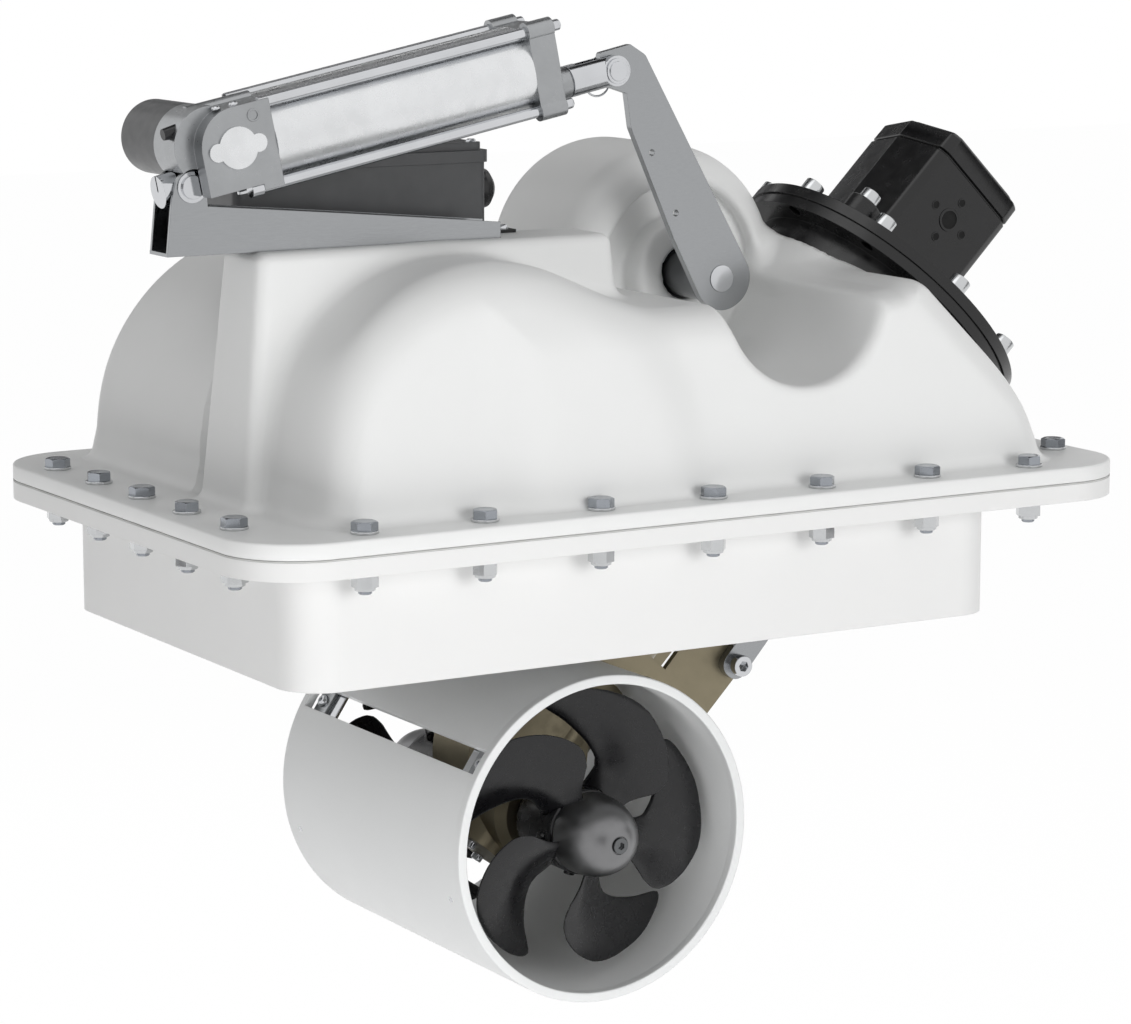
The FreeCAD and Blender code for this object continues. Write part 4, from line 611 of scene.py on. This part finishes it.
def skin(field, low, high, step):
    """Closed quads on the zero level of a field, with every vertex drawn onto the surface."""
    axes = [np.arange(a, b + step, step) for a, b in zip(low, high)]
    grid = np.meshgrid(*axes, indexing="ij")
    value = field(grid)
    inside = value < 0
    shape = tuple(n - 1 for n in value.shape)
    total = np.zeros((3, *shape))
    count = np.zeros(shape)
    corners = [(i, j, k) for i in (0, 1) for j in (0, 1) for k in (0, 1)]

    def at(array, c):
        return array[c[0]:c[0] + shape[0], c[1]:c[1] + shape[1], c[2]:c[2] + shape[2]]

    # One vertex in each cell, at the mean of the places where its edges cross the surface
    for a in corners:
        for axis in range(3):
            if a[axis]:
                continue
            b = tuple(c + (1 if i == axis else 0) for i, c in enumerate(a))
            va, vb = at(value, a), at(value, b)
            crosses = at(inside, a) != at(inside, b)
            share = np.where(crosses, va / np.where(crosses, va - vb, 1.0), 0.0)
            for i in range(3):
                total[i] += np.where(crosses, a[i] + (share if i == axis else 0.0), 0.0)
            count += crosses
    active = count > 0
    index = -np.ones(shape, int)
    index[active] = np.arange(active.sum())
    base = np.array(np.nonzero(active), float)
    points = np.array([(base[i] + total[i][active] / count[active]) * step + low[i] for i in range(3)])
    points = settled(field, points, step)

    # One quad across each grid edge that crosses the surface
    faces = []
    for axis in range(3):
        u, v = [i for i in range(3) if i != axis]
        first = inside[tuple(slice(1, -1) if i != axis else slice(0, -1) for i in range(3))]
        second = inside[tuple(slice(1, -1) if i != axis else slice(1, None) for i in range(3))]
        for flip in (False, True):
            hits = np.array(np.nonzero(~first & second if flip else first & ~second))
            hits = hits + np.array([[1 if i != axis else 0] for i in range(3)])
            quad = []
            for du, dv in ((-1, -1), (0, -1), (0, 0), (-1, 0)):
                cell = hits.copy()
                cell[u] += du
                cell[v] += dv
                quad.append(index[tuple(cell)])
            quad = np.array(quad).T
            quad = quad[(quad >= 0).all(1)]
            if flip != (axis == 1):
                quad = quad[:, ::-1]
            faces.append(quad)
    return points.T, np.concatenate(faces)


def keep_faces(points, faces, test):
    """Drop the faces whose corners all fail a test, and the points that nothing uses."""
    faces = faces[test(points)[faces].any(1)]
    used = np.unique(faces)
    renumber = -np.ones(len(points), int)
    renumber[used] = np.arange(len(used))
    return points[used], renumber[faces]


def make_cover():
    """The cover's moulding: an outer skin down to the flange and an inner skin, both open below."""
    step = 2.5
    high = (290, 175, 192)
    points, faces = skin(outer_field, (-275, -175, -4), high, step)
    points, faces = keep_faces(points, faces, lambda p: p[:, 2] > 0.02)
    points[:, 2] += 0.04
    inner, inner_faces = skin(inner_field, (-275, -175, -14), high, step * 1.2)
    inner, inner_faces = keep_faces(inner, inner_faces, lambda p: p[:, 2] > -10.5)
    both = np.concatenate([points, inner])
    all_faces = np.concatenate([faces, inner_faces[:, ::-1] + len(points)])
    shell = add_mesh("cover_moulding", both, all_faces, "cover", "root", 0)
    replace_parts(shell, "cover")


# Cover flange
FLANGE_HALF = (297.0, 185.0)
FLANGE_CORNER = 46.0
RIM_WIDTH = 37.0
RIM_REACH = 58.0


def rounded_outline(half_x, half_y, radius, steps=24):
    """Points round a rounded rectangle about the origin."""
    points = []
    for turn, sx, sy in ((0, 1, 1), (90, -1, 1), (180, -1, -1), (270, 1, -1)):
        for index in range(steps + 1):
            angle = math.radians(turn + 90.0 * index / steps)
            points.append((sx * (half_x - radius) + radius * math.cos(angle),
                           sy * (half_y - radius) + radius * math.sin(angle)))
    return points


def make_cover_flange():
    """Flat rim of the cover with softly broken edges."""
    top, bottom, edge = 0.0, -9.5, 1.6
    profile = [(-RIM_REACH, top)]
    for index in range(7):
        angle = math.radians(15.0 * index)
        profile.append((-edge + edge * math.sin(angle), top - edge + edge * math.cos(angle)))
    profile += [(0.0, bottom + 0.8), (-0.3, bottom + 0.25), (-0.9, bottom),
                (-RIM_WIDTH, bottom), (-RIM_REACH, top)]
    rings = []
    for inset, z in profile:
        corner = max(FLANGE_CORNER + inset, 40.0)
        half_y = FLANGE_HALF[1] + max(inset, -RIM_WIDTH)
        outline = rounded_outline(FLANGE_HALF[0] + inset, half_y, corner)
        rings.append([(x, y, z) for x, y in outline])
    count = len(rings[0])
    vertices = [v for ring in rings for v in ring]
    faces = []
    for a in range(len(rings) - 1):
        for i in range(count):
            j = (i + 1) % count
            faces.append((a * count + i, (a + 1) * count + i, (a + 1) * count + j, a * count + j))
    add_mesh("cover_flange", vertices, faces, "cover", "root", 60)


# Bolted flange
BOLT_FLATS = 13.0
WASHER_THICK = 1.6
NUT_FACE = -22.6
BOLT_END = -31.4


def bolt_places():
    sides = [(x, y) for x in np.linspace(-225.0, 225.0, 7) for y in (-168.0, 168.0)]
    return sides + [(x, y) for y in np.linspace(-120.0, 120.0, 5) for x in (-280.0, 280.0)]


def make_flange_bolts():
    heads, washers, nuts = Shape(), Shape(), Shape()
    ring = washer(8.0, 4.3, WASHER_THICK)
    head = hex_head(BOLT_FLATS, 5.3)
    nut = stack([
        hexagon(BOLT_FLATS, 0, FASTENER_STEPS, 6.2),
        hexagon(BOLT_FLATS, 0.4, FASTENER_STEPS),
        hexagon(BOLT_FLATS, 7.0, FASTENER_STEPS),
        circle(5.9, 7.0, FASTENER_STEPS),
        circle(5.8, 8.6, FASTENER_STEPS),
        circle(5.2, 9.0, FASTENER_STEPS),
        circle(4.2, 9.0, FASTENER_STEPS),
    ])
    tail = lathe([(3.9, 0), (3.9, 1.6), (3.3, 2.2)], 32)
    for index, (x, y) in enumerate(bolt_places()):
        turn = (index * 47.0) % 60.0
        heads.add(head, at=(x, y, WASHER_THICK), turn=turn)
        heads.add(tail, at=(x, y, BOLT_END), aim="-z")
        washers.add(ring, at=(x, y, 0.03))
        washers.add(ring, at=(x, y, NUT_FACE))
        nuts.add(nut, at=(x, y, NUT_FACE), aim="-z", turn=turn)
    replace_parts(heads.make("hex_bolts", "bolt", "root", "stainless"), "flange_bolts")
    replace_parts(washers.make("flat_washers", "nut", "root", "stainless"), "flange_washers")
    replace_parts(nuts.make("lock_nuts", "nut", "root", "stainless"), "flange_nuts")


# Smaller screws
RING_SCREW_RADIUS = 94.0
RING_SCREW_COUNT = 10
EAR_PLACES = ((-76.0, -47.0), (43.0, 47.0))
RIDGE_FACE = 146.0
BRACKET_FACE = 196.0


def make_screws():
    ring = Shape()
    head = cap_screw(6.5, 8.0, 6.0, 4.5)
    for index in range(RING_SCREW_COUNT):
        turn = math.radians(8.5 + 36.0 * index)
        place = (RING_SCREW_RADIUS * math.cos(turn), RING_SCREW_RADIUS * math.sin(turn), 0)
        ring.add(head, MOTOR, place, turn=index * 23.0)
    for u, v in EAR_PLACES:
        ring.add(head, MOTOR, (u, v, 11.0), turn=15.0)
    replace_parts(ring.make("ring_cap_screws", "nut", "root", "polished_steel"), "motor_screws")
    leg = Shape()
    small = cap_screw(3.6, 4.0, 3.0, 2.4, 0.35)
    for u in (-50.0, 50.0):
        leg.add(head, LEG, (u, -46.0, 148.0), "-y").add(head, LEG, (u, 46.0, 148.0), "y")
    for u in (-12.0, 12.0):
        for v in (-12.0, 12.0):
            leg.add(small, LEG, (u, v, -36.0), "-z")
    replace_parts(leg.make("leg_cap_screws", "polished", "swing", "polished_steel"), "swing_screws")
    top = Shape()
    for x in (-216.0, -150.0, -90.0):
        top.add(button_screw(5.5, 3.6, 3.4, 2.0), at=(x, -52.0, RIDGE_FACE))
    for x in (-222.0, -72.0):
        for y in (-15.0, 21.0):
            top.add(button_screw(3.2, 1.8, 1.9, 1.2), at=(x, y, BRACKET_FACE))
    for x in (-232.0, -61.0):
        top.add(button_screw(3.5, 2.4, 2.2, 1.4), at=(x, -32.5, RIDGE_FACE))
    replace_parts(top.make("button_screws", "polished", "root", "stainless"), "small_screws")


# Propellers, with angles in degrees of a blade's trailing and leading edges at each radius
BLADE_RADIUS = (18.0, 24.0, 30.0, 38.0, 44.0, 52.0, 58.0,
                65.0, 72.0, 77.0, 80.0, 82.0, 83.4, 84.2)
BLADE_TRAIL = (-36.0, -37.0, -39.0, -44.0, -47.0, -47.0, -44.0,
               -37.5, -29.5, -22.5, -18.0, -13.0, -7.5, 1.0)
BLADE_LEAD = (18.0, 10.0, 5.0, 0.0, 1.0, 8.0, 14.0,
              20.0, 26.0, 29.5, 30.5, 29.5, 27.0, 21.0)
BLADE_COUNT = 5
BLADE_PLANE = 84.0
BLADE_ADVANCE = 25.0
BLADE_CAMBER = 1.6
BLADE_EDGE = 1.3
FIRST_BLADE = {-1: 3.0, 1: 39.0}
STUD_PLANE = 83.0
HUB_PROFILE = [(17.0, 40.8), (18.7, 41.2), (19.0, 42.0), (19.0, 50.2), (22.6, 50.4), (24.6, 51.4),
               (25.6, 53.0), (26.0, 55.0), (26.0, 90.2), (25.6, 91.6), (24.8, 92.4), (23.0, 92.8)]
NOSE_RADIUS = 24.8
NOSE_START = 93.7
NOSE_LENGTH = 37.2
NOSE_FLAT = 5.4


def blade(side):
    """One blade as closed rings from the hub outwards; side is -1 for the near screw, 1 for the far."""
    rows = np.concatenate([np.linspace(18.0, 76.0, 26), np.linspace(77.5, 84.2, 12)])
    share = (1 - np.cos(np.linspace(0, math.pi, 17))) / 2
    swell = 4 * share * (1 - share)
    rings = []
    for radius in rows:
        trail = np.interp(radius, BLADE_RADIUS, BLADE_TRAIL)
        lead = np.interp(radius, BLADE_RADIUS, BLADE_LEAD)
        spread = np.radians(trail + (lead - trail) * share)
        depth = BLADE_PLANE - BLADE_ADVANCE * spread + BLADE_CAMBER * swell
        root = max(0.0, (30.0 - radius) / 12.0)
        thick = np.interp(radius, (18, 30, 60, 84), (4.4, 3.6, 2.6, 1.7)) + 5.0 * root ** 2
        body = BLADE_EDGE + (thick - BLADE_EDGE) * swell ** 0.6
        body[0] = body[-1] = 0.7
        x, z = radius * np.cos(spread), radius * np.sin(spread)
        front = np.stack([x, side * (depth + body / 2), z], 1)
        back = np.stack([x, side * (depth - body / 2), z], 1)
        ring = np.concatenate([front, back[::-1]])
        rings.append(ring if side < 0 else ring[::-1])
    return stack(rings)


def nose_profile():
    """(radius, distance) points of the nose, up to the seat of its screw."""
    profile = [(23.0, 92.9), (24.3, 93.1), (NOSE_RADIUS, NOSE_START)]
    for step in range(1, 25):
        t = step / 24.0
        radius = NOSE_RADIUS * math.sqrt(max(0.0, 1 - t ** 2.4))
        profile.append((radius, NOSE_START + NOSE_LENGTH * t))
    profile = [(r, y) for r, y in profile if r > NOSE_FLAT]
    end = profile[-1][1]
    return profile + [(NOSE_FLAT, end + 0.2), (5.3, end - 0.6), (4.9, end - 0.6)]


def make_propellers():
    nose = nose_profile()
    stud = lathe([(3.4, 0), (3.4, 27.2), (2.9, 27.8), (2.0, 27.9)], 24)
    for name, side in (("near", -1), ("far", 1)):
        aim = "-y" if side < 0 else "y"
        screw = Shape()
        points, faces = blade(side)
        for index in range(BLADE_COUNT):
            angle = math.radians(FIRST_BLADE[side] + 72.0 * index)
            screw.add((turned(points, angle, 0, 2), faces), AT_TUNNEL)
        screw.add(lathe(HUB_PROFILE, 96), AT_TUNNEL, aim=aim)
        for index in range(BLADE_COUNT):
            angle = math.radians(39.0 + 72.0 * index)
            around = turned(AIM["x"](stud[0]), angle, 0, 2) + (0, side * STUD_PLANE, 0)
            screw.add((around, stud[1]), AT_TUNNEL)
        made = screw.make(f"screw_{name}", "black_plastic", f"prop_{name}", "black_plastic", 40)
        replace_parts(made, f"propeller_{name}")
        cone = Shape().add(lathe(nose, 96), AT_TUNNEL, aim=aim)
        made = cone.make(f"nose_{name}", "dark_aluminium", f"prop_{name}", "dark_aluminium", 50)
        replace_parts(made, f"nose_cone_{name}")
        seat = (0, side * (nose[-1][1] - 0.2), 0)
        tip = Shape().add(cap_screw(4.8, 2.6, 4.0, 2.2), AT_TUNNEL, seat, aim)
        tip.make(f"nose_screw_{name}", "dark_steel", f"prop_{name}", "dark_aluminium")


# Tunnel, with angles in degrees round its axis
TUNNEL_INNER = 92.5
TUNNEL_OUTER = 98.2
LIP_START = 106.5
TUNNEL_END = 112.5
SLOT_START = 150.4
SLOT_END = 501.3
SLOT_MIDDLE = 145.85


def lip_profile(y0, y1, round0, round1):
    """Closed (radius, y) loop of the tunnel wall with rounded ends."""
    points = []
    for r, y, radius, start in ((TUNNEL_OUTER, y1, round1, 0), (TUNNEL_INNER, y1, round1, 90),
                                (TUNNEL_INNER, y0, round0, 180), (TUNNEL_OUTER, y0, round0, 270)):
        r += -radius if r == TUNNEL_OUTER else radius
        y += -radius if y == y1 else radius
        for k in range(7):
            a = math.radians(start + 15.0 * k)
            points.append((r + radius * math.cos(a), y + radius * math.sin(a)))
    return points


def swept(profile, start, end, steps, closed):
    """A (radius, y) loop carried round the tunnel's axis between two angles."""
    rings = []
    for k in range(steps + (0 if closed else 1)):
        a = math.radians(start + (end - start) * k / steps)
        rings.append(np.array([(r * math.cos(a), y, r * math.sin(a)) for r, y in profile]))
    return stack(rings, loop=closed)


def make_tunnel():
    """Two closed end rings and, between them, a wall that is open at the slot."""
    near = lip_profile(-TUNNEL_END, -LIP_START, 1.0, 0.1)
    far = lip_profile(LIP_START, TUNNEL_END, 0.1, 1.0)
    wall = lip_profile(-106.6, 106.6, 0.1, 0.1)
    shell = Shape()
    shell.add(swept(near, 0, 360, 192, True), AT_TUNNEL)
    shell.add(swept(far, 0, 360, 192, True), AT_TUNNEL)
    shell.add(swept(wall, SLOT_START, SLOT_END, 190, False), AT_TUNNEL)
    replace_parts(shell.make("tunnel_shell", "tunnel", "swing", "gel_white", 40), "tunnel")


def make_slot_straps():
    """Small plates that bridge the slot at both ends, each with a round socket screw."""
    plates, brackets, screws = Shape(), Shape(), Shape()
    slot = round_tunnel(SLOT_MIDDLE)
    plate = drawn(plate_outline(13.0, 7.5, 2.0), [(89.4, 0.3), (89.7, 0), (91.2, 0), (91.5, 0.3)])
    bracket = drawn(plate_outline(13.0, 5.5, 1.0), [(87.2, 0.3), (87.5, 0), (89.0, 0), (89.3, 0.3)])
    for side in (-1, 1):
        plates.add(plate, slot, (0, side * 98.0, 0))
        brackets.add(bracket, slot, (0, side * 86.0, 0))
        screws.add(button_screw(4.2, 2.6, 2.8, 1.6), slot, (0, side * 99.0, 91.5))
    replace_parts(plates.make("strap_plates", "stainless", "swing", "stainless"), "tunnel_straps")
    brackets.make("strap_tabs", "polished", "swing", "stainless")
    screws.make("strap_screws", "polished", "swing", "stainless")
    dots = Shape()
    plug = lathe([(1.9, 97.6), (1.9, TUNNEL_OUTER), (1.4, 98.5)], 24)
    for angle, y in ((66.0, -96.0), (196.0, -96.0), (196.0, 96.0)):
        dots.add(plug, round_tunnel(angle), (0, y, 0))
    dots.make("tunnel_plugs", "polished", "swing", "stainless")


# Gear motor
BODY_PLAN = [(13.5, -40.0), (19.5, -37.0), (27.6, 0.0), (19.5, 37.0), (13.5, 40.0),
             (-47.0, 40.0), (-53.0, 37.0), (-61.0, 0.0), (-53.0, -37.0), (-47.0, -40.0)]
EAR_RADIUS = 11
PORT = (-17.5, -39.95, 49.7)
PORT_SCREW_REACH = 14.1


def ear_outline(u, v):
    """Plan of a bolt ear that runs from a round end at (u, v) into the casting's side."""
    points = []
    for angle in np.radians(np.arange(0, 360, 12)):
        points.append((u + EAR_RADIUS * math.cos(angle), v + EAR_RADIUS * math.sin(angle)))
    roots = ((-45.0, 39.0), (-20.0, 39.0), (-52.0, 20.0), (-30.0, 39.0))
    if v > 0:
        roots = ((-45.0, 39.0), (0.0, 39.0), (18.0, 20.0), (8.0, 39.0))
    points += [(x, math.copysign(y, v)) for x, y in roots]
    return [points[i] for i in convex_hull_2d([Vector(p) for p in points])]


def make_motor():
    plan = soften_corners(BODY_PLAN, 5.0)
    body = Shape()
    body.add(drawn(plan, [(0, 0), (76.6, 0), (77.2, 0.5), (77.2, 1.6), (78.6, 1.6)]), MOTOR)
    for u, v in EAR_PLACES:
        body.add(drawn(ear_outline(u, v), [(0.05, 0), (10.2, 0), (11.0, 0.7)]), MOTOR)
    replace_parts(body.make("motor_casting", "black_metal", "root", "black_metal"), "motor_body")
    lid = Shape()
    lid.add(drawn(plan, [(78.6, 0.8), (79.2, 0.1), (90.4, 0.3), (91.6, 1.0),
                         (92.2, 2.6), (92.8, 4.2), (94.0, 4.9), (94.8, 6.4)]), MOTOR)
    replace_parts(lid.make("motor_lid", "black_metal", "root", "black_metal"), "motor_end_cover")
    # The port and its four screw holes are near-black flat discs on the casting, painted shade in place
    # of real bores; the rims round them are real
    hole_shade_discs, rims = Shape(), Shape()
    disc = lathe([(5.8, 0), (5.8, 0.25)], 40)
    small = lathe([(2.3, 0), (2.3, 0.25)], 24)
    hole_shade_discs.add(disc, MOTOR, PORT, "-y")
    rims.add(washer(7.4, 5.7, 0.6), MOTOR, PORT, "-y")
    for du, dn in ((-1, 0), (1, 0), (0, -1), (0, 1)):
        place = (PORT[0] + du * PORT_SCREW_REACH, PORT[1], PORT[2] + dn * PORT_SCREW_REACH)
        hole_shade_discs.add(small, MOTOR, place, "-y")
        rims.add(washer(3.0, 2.25, 0.4, 0.15), MOTOR, place, "-y")
    hole_shade_discs.make("port_shade_discs", "shade_in_holes", "root", "black_metal")
    rims.make("port_rims", "black_metal", "root", "black_metal")


def make_actuator_trim():
    """Trim on the actuator: mark, plate screws, barrel screws and the guard strip below."""
    mark, screws, strip = Shape(), Shape(), Shape()
    mark.add(washer(3.7, 2.6, 0.5, 0.15), ACTUATOR, (38.4, -77.0, 32.5), "-y")
    mark.make("plate_mark", "cast", "actuator", "aluminium_cast")
    for t in (20.0, 31.0):
        screws.add(button_screw(2.6, 1.6, 1.5, 1.0), ACTUATOR, (t, -70.0, 39.6))
    end_screw = stack([circle(3.25, 0.0), circle(3.25, 5.4), circle(2.6, 6.2),
                       hexagon(2.6, 6.2), hexagon(2.6, 5.0)])
    for n in (37.5, -8.5):
        for y in (-72.5, -31.5):
            screws.add(end_screw, ACTUATOR, (235.0, y, n), "x")
    screws.make("actuator_screws", "polished", "actuator", "polished_steel")
    guard = drawn(plate_outline(98.0, 2.6, 2.0), [(0, 0.4), (0.4, 0), (2.0, 0), (2.4, 0.4)])
    strip.add(guard, ACTUATOR, (130.0, -52.0, -13.4))
    strip.make("guard_strip", "polished", "actuator", "polished_steel")


def make_motor_trim():
    """The tab on the motor's lid and the plug in its side."""
    tab, plug = Shape(), Shape()
    plate = drawn(plate_outline(3.0, 5.0, 1.0), [(92.6, 0.3), (92.9, 0), (96.6, 0), (97.0, 0.5)])
    tab.add(plate, MOTOR, (2.0, -8.0, 0))
    tab.make("motor_tab", "nut", "root", "stainless")
    profile = [(7.2, 0), (7.2, 2.2), (5.6, 2.4), (5.4, 4.6), (4.2, 6.2), (2.0, 7.0)]
    plug.add(lathe(profile, 40), MOTOR, (22.0, -14.0, 62.0), "x")
    plug.make("motor_plug", "black_metal", "root", "black_metal")


# Light and floor
WORLD_SEEN = 1.0
WORLD_LIGHT = 0.40
FLOOR_HALF = 12.0
FLOOR_LEVEL = -0.9
FLOOR_GLOW = 1.03
FLOOR_SHARE = 0.94


def any_ray(tree, *kinds):
    """1 for rays of the named kinds and 0 for the others."""
    path = tree.nodes.new("ShaderNodeLightPath")
    value = path.outputs[kinds[0]]
    for kind in kinds[1:]:
        larger = tree.nodes.new("ShaderNodeMath")
        larger.operation = "MAXIMUM"
        tree.links.new(value, larger.inputs[0])
        tree.links.new(path.outputs[kind], larger.inputs[1])
        value = larger.outputs[0]
    return value


def blend(tree, share, first, second, target):
    """Mix two shaders by a share and send the result to a socket."""
    mix = tree.nodes.new("ShaderNodeMixShader")
    tree.links.new(share, mix.inputs["Fac"])
    tree.links.new(first.outputs[0], mix.inputs[1])
    tree.links.new(second.outputs[0], mix.inputs[2])
    tree.links.new(mix.outputs[0], target)


def make_world():
    """A world that looks white and lights at a lower strength."""
    world = bpy.data.worlds.new("studio")
    bpy.context.scene.world = world
    world.use_nodes = True
    tree = world.node_tree
    tree.nodes.clear()
    out = tree.nodes.new("ShaderNodeOutputWorld")
    skies = []
    for strength in (WORLD_LIGHT, WORLD_SEEN):
        sky = tree.nodes.new("ShaderNodeBackground")
        sky.inputs["Color"].default_value = (1, 1, 1, 1)
        sky.inputs["Strength"].default_value = strength
        skies.append(sky)
    seen = any_ray(tree, "Is Camera Ray", "Is Transmission Ray", "Is Glossy Ray")
    blend(tree, seen, *skies, out.inputs["Surface"])


def make_lamps():
    """Four soft lamps; only the top one shows in reflections."""
    for name, place, target, size, power in (
        ("key", (0.6, -3.0, 0.45), (0, 0, 0.0), 1.5, 36.0),
        ("under", (-0.8, -0.7, -0.86), (-0.05, 0, -0.2), 1.2, 12.0),
        ("top", (-0.8, -0.4, 2.6), (0, 0, 0), 1.4, 4.0),
        ("back", (0.9, 2.6, 1.1), (0, 0, 0), 1.5, 14.0),
    ):
        data = bpy.data.lights.new(name, "AREA")
        data.shape = "SQUARE"
        data.size = size
        data.energy = power
        lamp = bpy.data.objects.new(name, data)
        bpy.context.scene.collection.objects.link(lamp)
        lamp.location = place
        lamp.rotation_euler = (Vector(target) - Vector(place)).to_track_quat("-Z", "Y").to_euler()
        lamp.visible_camera = False
        lamp.visible_glossy = name == "top"


def flat_panel(name, corners, material):
    """A single quad of the studio, in metres."""
    mesh = bpy.data.meshes.new(name)
    mesh.from_pydata([tuple(c) for c in corners], [], [(0, 1, 2, 3)])
    mesh.materials.append(material)
    panel = bpy.data.objects.new(name, mesh)
    bpy.context.scene.collection.objects.link(panel)
    return panel


def make_floor():
    """A pale floor that shows almost white to the camera and keeps a faint shadow."""
    material = bpy.data.materials.new("pale_floor")
    material.use_nodes = True
    tree = material.node_tree
    shader = tree.nodes["Principled BSDF"]
    shader.inputs["Base Color"].default_value = (0.8, 0.8, 0.8, 1)
    shader.inputs["Roughness"].default_value = 0.9
    glow = tree.nodes.new("ShaderNodeEmission")
    glow.inputs["Strength"].default_value = FLOOR_GLOW
    share = tree.nodes.new("ShaderNodeMath")
    share.operation = "MULTIPLY"
    share.inputs[1].default_value = FLOOR_SHARE
    tree.links.new(any_ray(tree, "Is Camera Ray", "Is Glossy Ray"), share.inputs[0])
    blend(tree, share.outputs[0], shader, glow, tree.nodes["Material Output"].inputs["Surface"])
    plan = ((-1, -1), (1, -1), (1, 1), (-1, 1))
    corners = [(x * FLOOR_HALF, y * FLOOR_HALF, FLOOR_LEVEL) for x, y in plan]
    floor = flat_panel("floor", corners, material)


def make_cards():
    """Dark studio cards that show only in reflections, for polished and black surfaces."""
    paint = Paint("card_cloth", (0.62, 0.62, 0.63), 0.95, soften=0.0)
    paint.vary_color(paint.noise(1.6, 1.0), 0.02, 0.46, 0.62)
    for name, place, width, height in (
        ("card_front", (-1.55, -2.65, 0.25), 1.5, 1.1),
        ("card_top", (0.6, 1.3, 2.3), 3.4, 2.6),
        ("card_far", (0.9, 2.6, 0.7), 2.6, 1.2),
        ("card_right", (2.3, -1.0, 0.2), 0.9, 1.4),
        ("card_left", (-2.6, 0.3, 0.2), 0.8, 1.4),
    ):
        aim = (-Vector(place)).to_track_quat("-Z", "Y").to_matrix()
        corners = []
        for x, y in ((-1, -1), (1, -1), (1, 1), (-1, 1)):
            corners.append(aim @ Vector((x * width / 2, y * height / 2, 0)) + Vector(place))
        card = flat_panel(name, corners, paint.material)
        card.visible_camera = False
        card.visible_diffuse = False
        card.visible_shadow = False


make_camera()
make_world()
make_lamps()
make_floor()
make_cards()
dress_cad()
make_cover()
make_cover_flange()
make_flange_bolts()
make_screws()
make_propellers()
make_tunnel()
make_slot_straps()
make_motor()
make_actuator_trim()
make_motor_trim()

bpy.context.scene.view_settings.view_transform = "Standard"
bpy.context.view_layer.update()
